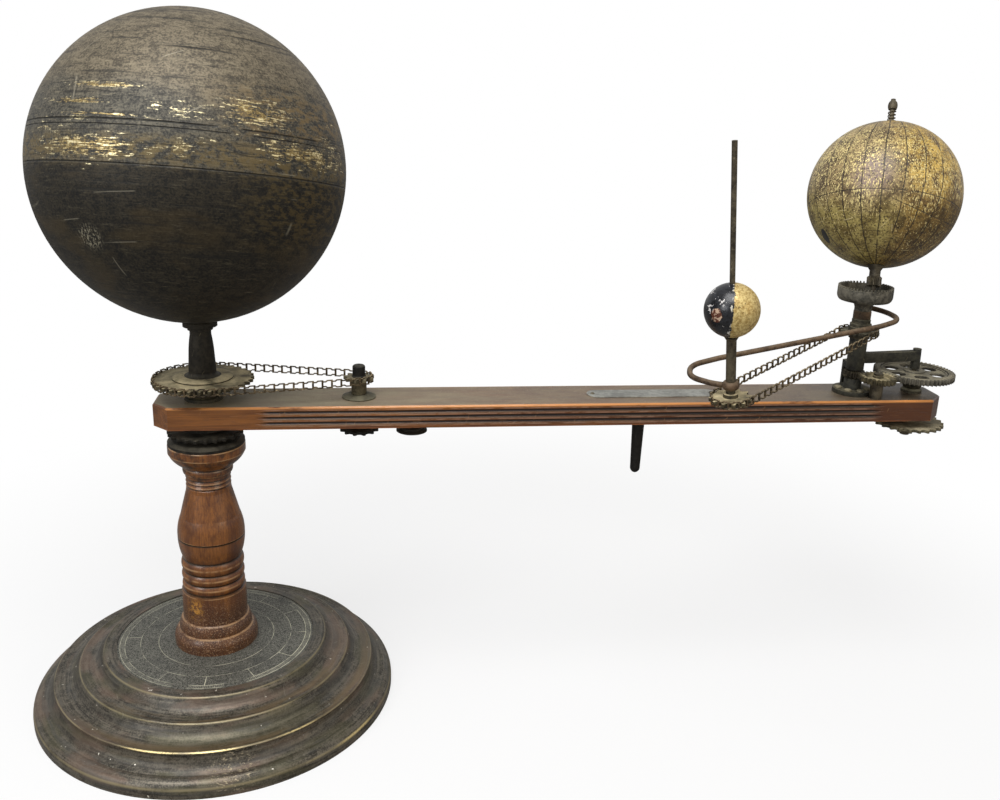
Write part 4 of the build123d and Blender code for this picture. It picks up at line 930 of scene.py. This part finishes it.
@dataclass(frozen=True)
class MoonPaint(Finish):
    """Ball painted black on the half away from the Sun's side and gold on the other, chipped."""

    centre: Place
    label: str = "moon paint"
    chipped: tuple[tuple[float, float, float, float], ...] = (
        (-15.3, 2.5, 14.1, 5.0), (-13.4, -13.2, 9.2, 5.0), (-6.0, -15.0, -12.0, 5.5),
        (-19.0, -6.0, 3.0, 6.0))
    rust: Place = (-16.0, -12.4, -1.5)
    facing: Place = (0.945, -0.326, 0.0)
    gold: Tones = ((176, 144, 80), (240, 216, 148))
    black: Tones = ((14, 15, 19), (40, 42, 48))
    rusty: Tones = ((92, 50, 34), (206, 176, 150))

    def away(self, n: Nodes, local: Socket, place: Place) -> Socket:
        """Distance from a place, given in millimetres from the ball's centre."""
        return n.measure("DISTANCE", local, tuple(part * MM for part in place))

    def bare(self, n: Nodes, local: Socket, chips: Socket) -> Socket:
        """Mask of the chips, which lie closer together near the chipped places."""
        close = n.most(*(n.between(self.away(n, local, place), size * MM, size * 0.2 * MM)
                         for *place, size in self.chipped))
        limit = n.line(close, -0.20, 0.68)
        return n.between(chips, limit, n.math("ADD", limit, 0.02))

    def paint(self, n: Nodes, shader: bpy.types.Node, position: Socket) -> None:
        """Lay the gold half, and the black half with its chips, its rust and its pale rim."""
        local = n.vector("SUBTRACT", position, self.centre)
        wander = n.minus(n.noise(position, 150.0, 5.0, 0.65), 0.5)
        edge = n.line(wander, 0.006, n.measure("DOT_PRODUCT", local, self.facing))
        side = n.between(edge, -0.0003, 0.0003)
        mottle = n.noise(position, 420.0, 5.0, 0.75)
        gold = n.over(n.tones(n.between(mottle, 0.36, 0.64), self.gold),
                      n.between(n.noise(position, 520.0, 4.0, 0.7), 0.58, 0.66), (104, 82, 42))
        chips = n.noise(position, 430.0, 3.0, 0.6)
        bare = self.bare(n, local, chips)
        patch = n.between(n.line(wander, 0.008, self.away(n, local, self.rust)), 0.0052, 0.0046)
        dark = n.mix(patch, n.tones(n.between(mottle, 0.4, 0.65), self.black),
                     n.tones(n.between(chips, 0.48, 0.54), self.rusty))
        dark = n.over(dark, bare, (226, 222, 218))
        rim = n.times(n.near(edge, -0.0006, 0.0007), n.between(wander, -0.02, 0.05), 0.9)
        color = n.over(n.mix(side, dark, gold), rim, (232, 226, 208))
        n.feed_all(shader, {"Base Color": color, "Roughness": n.line(side, 0.22, 0.22),
                            "Metallic": n.times(side, 0.3)})
        self.relief(n, shader, n.line(bare, -2.0, mottle), 0.12)


@dataclass(frozen=True)
class Studio:
    """Floor, lights, sky and the camera at the photo's place."""

    eye_mm: Place = (131.975, -821.267, 540.055)
    yaw: float = 0.123
    pitch: float = 0.293
    roll: float = 0.028
    focal_px: float = 998.4
    centre_px: tuple[float, float] = (479.7, 378.6)
    frame_px: tuple[int, int] = (1000, 800)
    sensor_mm: float = 36.0
    floor_centre: Place = (0.3, 0.0, 0.0)
    floor_radius: float = 6.0
    white: tuple[float, float, float, float] = (1.0, 1.0, 1.0, 1.0)

    def camera(self) -> None:
        """Place the camera, with its optical centre where the photo has it."""
        ahead = Vector((math.sin(self.yaw) * math.cos(self.pitch),
                        math.cos(self.yaw) * math.cos(self.pitch), -math.sin(self.pitch)))
        right = ahead.cross(Vector((0.0, 0.0, 1.0))).normalized()
        up = right.cross(ahead)
        across = math.cos(self.roll) * right + math.sin(self.roll) * up
        above = -math.sin(self.roll) * right + math.cos(self.roll) * up
        turn = Matrix((across, above, -ahead)).transposed()
        width, height = self.frame_px
        data = bpy.data.cameras.new("camera")
        data.sensor_width = self.sensor_mm
        data.lens = self.sensor_mm * self.focal_px / width
        data.shift_x = (width / 2 - self.centre_px[0]) / width
        data.shift_y = -(height / 2 - self.centre_px[1]) / width
        data.clip_start, data.clip_end = 0.05, 50.0
        camera = bpy.data.objects.new("camera", data)
        camera.matrix_world = Matrix.Translation(Vector(self.eye_mm) * MM) @ turn.to_4x4()
        bpy.context.scene.collection.objects.link(camera)
        bpy.context.scene.camera = camera

    def lamp(self, name: str, place: Place, aim: Place, size: float, power: float,
             tint: Rgb = (255, 255, 255)) -> None:
        """Hang one soft square lamp.

        Args:
            name: The lamp's name.
            place: Where it hangs, in metres.
            aim: The point it looks at, in metres.
            size: Side of the square, in metres.
            power: Power in watts.
            tint: Colour of its light.
        """
        data = bpy.data.lights.new(name, "AREA")
        data.size, data.energy, data.color = size, power, tone(tint)[:3]
        lamp = bpy.data.objects.new(name, data)
        lamp.location = place
        lamp.rotation_euler = (Vector(aim) - Vector(place)).to_track_quat("-Z", "Y").to_euler()
        bpy.context.scene.collection.objects.link(lamp)

    def sky(self) -> None:
        """White for the camera, pale in reflections, and a mild even light."""
        world = bpy.data.worlds.new("studio")
        bpy.context.scene.world = world
        world.use_nodes = True
        world.node_tree.nodes.clear()
        n = Nodes(world.node_tree)
        path = n.add("LightPath").outputs
        level = n.most(path["Is Camera Ray"], path["Is Transmission Ray"],
                       n.line(path["Is Glossy Ray"], 0.25, 0.30))
        back = n.add("Background", {"Color": self.white, "Strength": level})
        n.add("OutputWorld", {"Surface": back.outputs[0]})

    def floor(self) -> None:
        """Pale floor that runs out to plain white far from the object."""
        bpy.ops.mesh.primitive_circle_add(vertices=64, radius=self.floor_radius,
                                          fill_type="NGON", location=self.floor_centre)
        floor = bpy.context.active_object
        floor.name = "floor"
        material = bpy.data.materials.new("pale floor")
        material.use_nodes = True
        material.node_tree.nodes.clear()
        n = Nodes(material.node_tree)
        x, y, _ = n.split(n.add("NewGeometry").outputs["Position"])
        away = n.radius(n.minus(x, 0.25), y)
        seen = n.add("LightPath").outputs["Is Camera Ray"]
        shade = n.tones(seen, ((150, 148, 144), (250, 250, 250)))
        cover = n.add("BsdfPrincipled", {"Base Color": shade, "Roughness": 0.9})
        white = n.add("Emission", {"Color": self.white, "Strength": 1.0})
        share = n.times(n.line(n.between(away, 0.40, 0.85), 0.28, 0.72), seen)
        both = n.add("MixShader", {0: share, 1: cover.outputs[0], 2: white.outputs[0]})
        n.add("OutputMaterial", {"Surface": both.outputs[0]})
        floor.data.materials.append(material)

    def build(self) -> None:
        """Set up the whole studio."""
        bpy.context.scene.view_settings.view_transform = "Standard"
        self.camera()
        self.sky()
        self.floor()
        self.lamp("ceiling", (-0.15, -0.75, 2.0), (0.25, 0.0, 0.25), 1.3, 30.0)
        self.lamp("window", (-1.5, -1.4, 1.2), (0.2, 0.0, 0.3), 0.9, 13.0, (250, 252, 255))
        self.lamp("fill", (1.7, -1.4, 1.0), (0.3, 0.0, 0.3), 0.8, 5.0, (255, 240, 214))


# Modelling


def activate(piece: bpy.types.Object) -> None:
    """Select this piece alone and make it the active one."""
    bpy.ops.object.select_all(action="DESELECT")
    piece.select_set(True)
    bpy.context.view_layer.objects.active = piece


def smooth(piece: bpy.types.Object, angle: float = 38.0) -> None:
    """Shade smooth across edges that turn less than angle, in degrees."""
    activate(piece)
    bpy.ops.object.shade_smooth_by_angle(angle=math.radians(angle))


def eased(node: str, ease: Ease, angle: float = 32.0) -> bpy.types.Object:
    """Copy a CAD node and round its sharp edges a little, as wear and casting do.

    Args:
        node: Name of the CAD node.
        ease: Width of the rounding.
        angle: Edges that turn more than this, in degrees, are rounded.

    Returns:
        The copy, which rides on the node's body and stands for the node.
    """
    source = frame["nodes"][node]
    body = source["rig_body"]
    activate(source)
    bpy.ops.object.duplicate()
    piece = bpy.context.active_object
    piece.name = node + "_eased"
    for key in [key for key in piece.keys() if key.startswith("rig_")]:
        del piece[key]
    piece.parent = None
    bpy.ops.object.mode_set(mode="EDIT")
    bpy.ops.mesh.select_all(action="SELECT")
    bpy.ops.mesh.remove_doubles(threshold=2e-6)
    bpy.ops.mesh.dissolve_limited(angle_limit=math.radians(1.0))
    bpy.ops.object.mode_set(mode="OBJECT")
    bevel = piece.modifiers.new("worn edges", "BEVEL")
    bevel.width = ease.value * MM
    bevel.segments = 2
    bevel.limit_method = "ANGLE"
    bevel.angle_limit = math.radians(angle)
    bevel.use_clamp_overlap = True
    bevel.harden_normals = False
    bpy.ops.object.modifier_apply(modifier=bevel.name)
    smooth(piece)
    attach(piece, body)
    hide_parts(node)
    return piece


def place_of(node: str) -> tuple[Vector, Vector]:
    """Lowest and highest corner of a CAD node, in metres."""
    low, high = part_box(node)
    return Vector(low), Vector(high)


@dataclass
class Assembly(ABC):
    """Base of the sub-assemblies: gives the CAD nodes their finishes and reports them."""

    metals: dict[Metal, bpy.types.Material]

    @abstractmethod
    def build(self) -> None:
        """Finish every piece of the sub-assembly."""

    def dress(self, finish: Metal | Finish, *nodes: str, ease: Ease | None = None) -> None:
        """Give CAD nodes, or eased copies of them, one finish.

        Args:
            finish: One of the metals, or a finish of the piece's own.
            nodes: Names of the CAD nodes.
            ease: Rounding of sharp edges; left out, the CAD node itself is dressed.
        """
        material = self.metals[finish] if isinstance(finish, Metal) else finish.build()
        for node in nodes:
            piece = eased(node, ease) if ease else frame["nodes"][node]
            piece.data.materials.clear()
            piece.data.materials.append(material)
            if not ease:
                smooth(piece)
            LOG.info("dressed %s with %s", piece.name, material.name)


class BaseAndColumn(Assembly):
    """Spun base with its weight and dial, and the turned column on it."""

    def build(self) -> None:
        """Finish the base, the dial, the column and what holds them together."""
        foot = place_of("column")[0].z
        self.dress(SpunBase(), "base_shell")
        self.dress(DialFace(), "calendar_disc")
        self.dress(TurnedWood(foot), "column")
        self.dress(Metal.BLACK, "base_weight", "base_nut", "base_washer")
        self.dress(Metal.IRON, "column_cap_plate")
        self.dress(Metal.IRON, "column_sprocket", ease=Ease.FINE)
        self.dress(Metal.STEEL, "central_spindle")


class SunGroup(Assembly):
    """Sun ball of two shells on its stem, and the fixed sprocket under it."""

    def build(self) -> None:
        """Finish the two shells, the stem and the sprocket."""
        low, high = place_of("sun_upper_shell")
        radius = high.z - low.z
        self.dress(SunSkin(low.z, radius), "sun_upper_shell", "sun_lower_shell")
        self.dress(Metal.IRON, "sun_stem")
        self.dress(Metal.STEEL, "sun_nut")
        # The sprocket takes the pale cream finish as painted light on its top, which lies in the
        # Sun ball's shadow.
        self.dress(Metal.CREAM, "sun_sprocket", ease=Ease.FINE)
        LOG.info("Sun ball, radius %.1f mm", radius / MM)


class ArmGroup(Assembly):
    """Wooden arm with its hub, plate, peg, pulley and small shaft."""

    def build(self) -> None:
        """Finish the board and everything fixed to it."""
        low, high = place_of("arm_board")
        self.dress(ArmWood(low.z, high.z, high.y), "arm_board")
        self.dress(Metal.BRONZE, "hub_bush", "small_shaft_bush", "drive_bush")
        self.dress(Metal.IRON, "hub_washer", "guide_pulley")
        self.dress(Metal.BLACK, "handle_peg", "small_hub_cap")
        self.dress(Metal.STEEL, "guide_stud", "label_pins", "small_shaft")
        self.dress(Metal.PLATE, "label_plate", ease=Ease.FINE)
        self.dress(Metal.PALE, "small_sprocket", ease=Ease.FINE)
        self.dress(Metal.BLACK, "lower_sprocket", ease=Ease.FINE)
        self.dress(Metal.CHAIN, "sun_chain", ease=Ease.FINE)


class EarthGroup(Assembly):
    """Cast post, gear train, crown wheel and the Earth on its leaning pin."""

    def build(self) -> None:
        """Finish the castings, the gears and the globe."""
        self.dress(Metal.CASTING, "earth_post", ease=Ease.SOFT)
        self.dress(Metal.PALE, "post_screws", "end_sprocket", ease=Ease.FINE)
        self.dress(Metal.GREY, "crown_wheel", "drive_gear", ease=Ease.FINE)
        self.dress(Metal.CREAM, "idler_gear", ease=Ease.FINE)
        self.dress(Metal.BRONZE, "post_sprocket", "drive_hub", ease=Ease.FINE)
        self.dress(Metal.WIRE, "carrier_ring")
        self.dress(Metal.STEEL, "idler_stud", "drive_shaft", "drive_tube", "end_nut",
                   "earth_axis_pin", "axis_spring", "earth_pinion", "earth_top_washer",
                   "axis_knob")
        low, high = place_of("earth_globe")
        radius = (high.x - low.x) / 2
        axis = next(joint["axis"] for joint in frame["joints"] if joint["name"] == "earth_spin")
        self.dress(GlobePaper(tuple((low + high) / 2), tuple(axis), radius), "earth_globe")
        LOG.info("Earth globe, radius %.1f mm", radius / MM)


class MoonGroup(Assembly):
    """Bent wire, chain, spindle and the two-coloured Moon."""

    def build(self) -> None:
        """Finish the carrier and the Moon."""
        self.dress(Metal.WIRE, "carrier_wire", "moon_bearing")
        self.dress(Metal.CHAIN, "moon_chain", ease=Ease.FINE)
        self.dress(Metal.CREAM, "moon_sprocket", ease=Ease.FINE)
        self.dress(Metal.STEEL, "moon_spindle")
        low, high = place_of("moon_ball")
        self.dress(MoonPaint(tuple((low + high) / 2)), "moon_ball")


def main() -> None:
    """Build the studio and every sub-assembly."""
    Studio().build()
    metals = {metal: metal.value.build() for metal in Metal}
    for group in (BaseAndColumn, SunGroup, ArmGroup, EarthGroup, MoonGroup):
        LOG.info("building %s", group.__name__)
        group(metals).build()


if __name__ == "__main__":
    logging.basicConfig(level=logging.INFO)
    main()
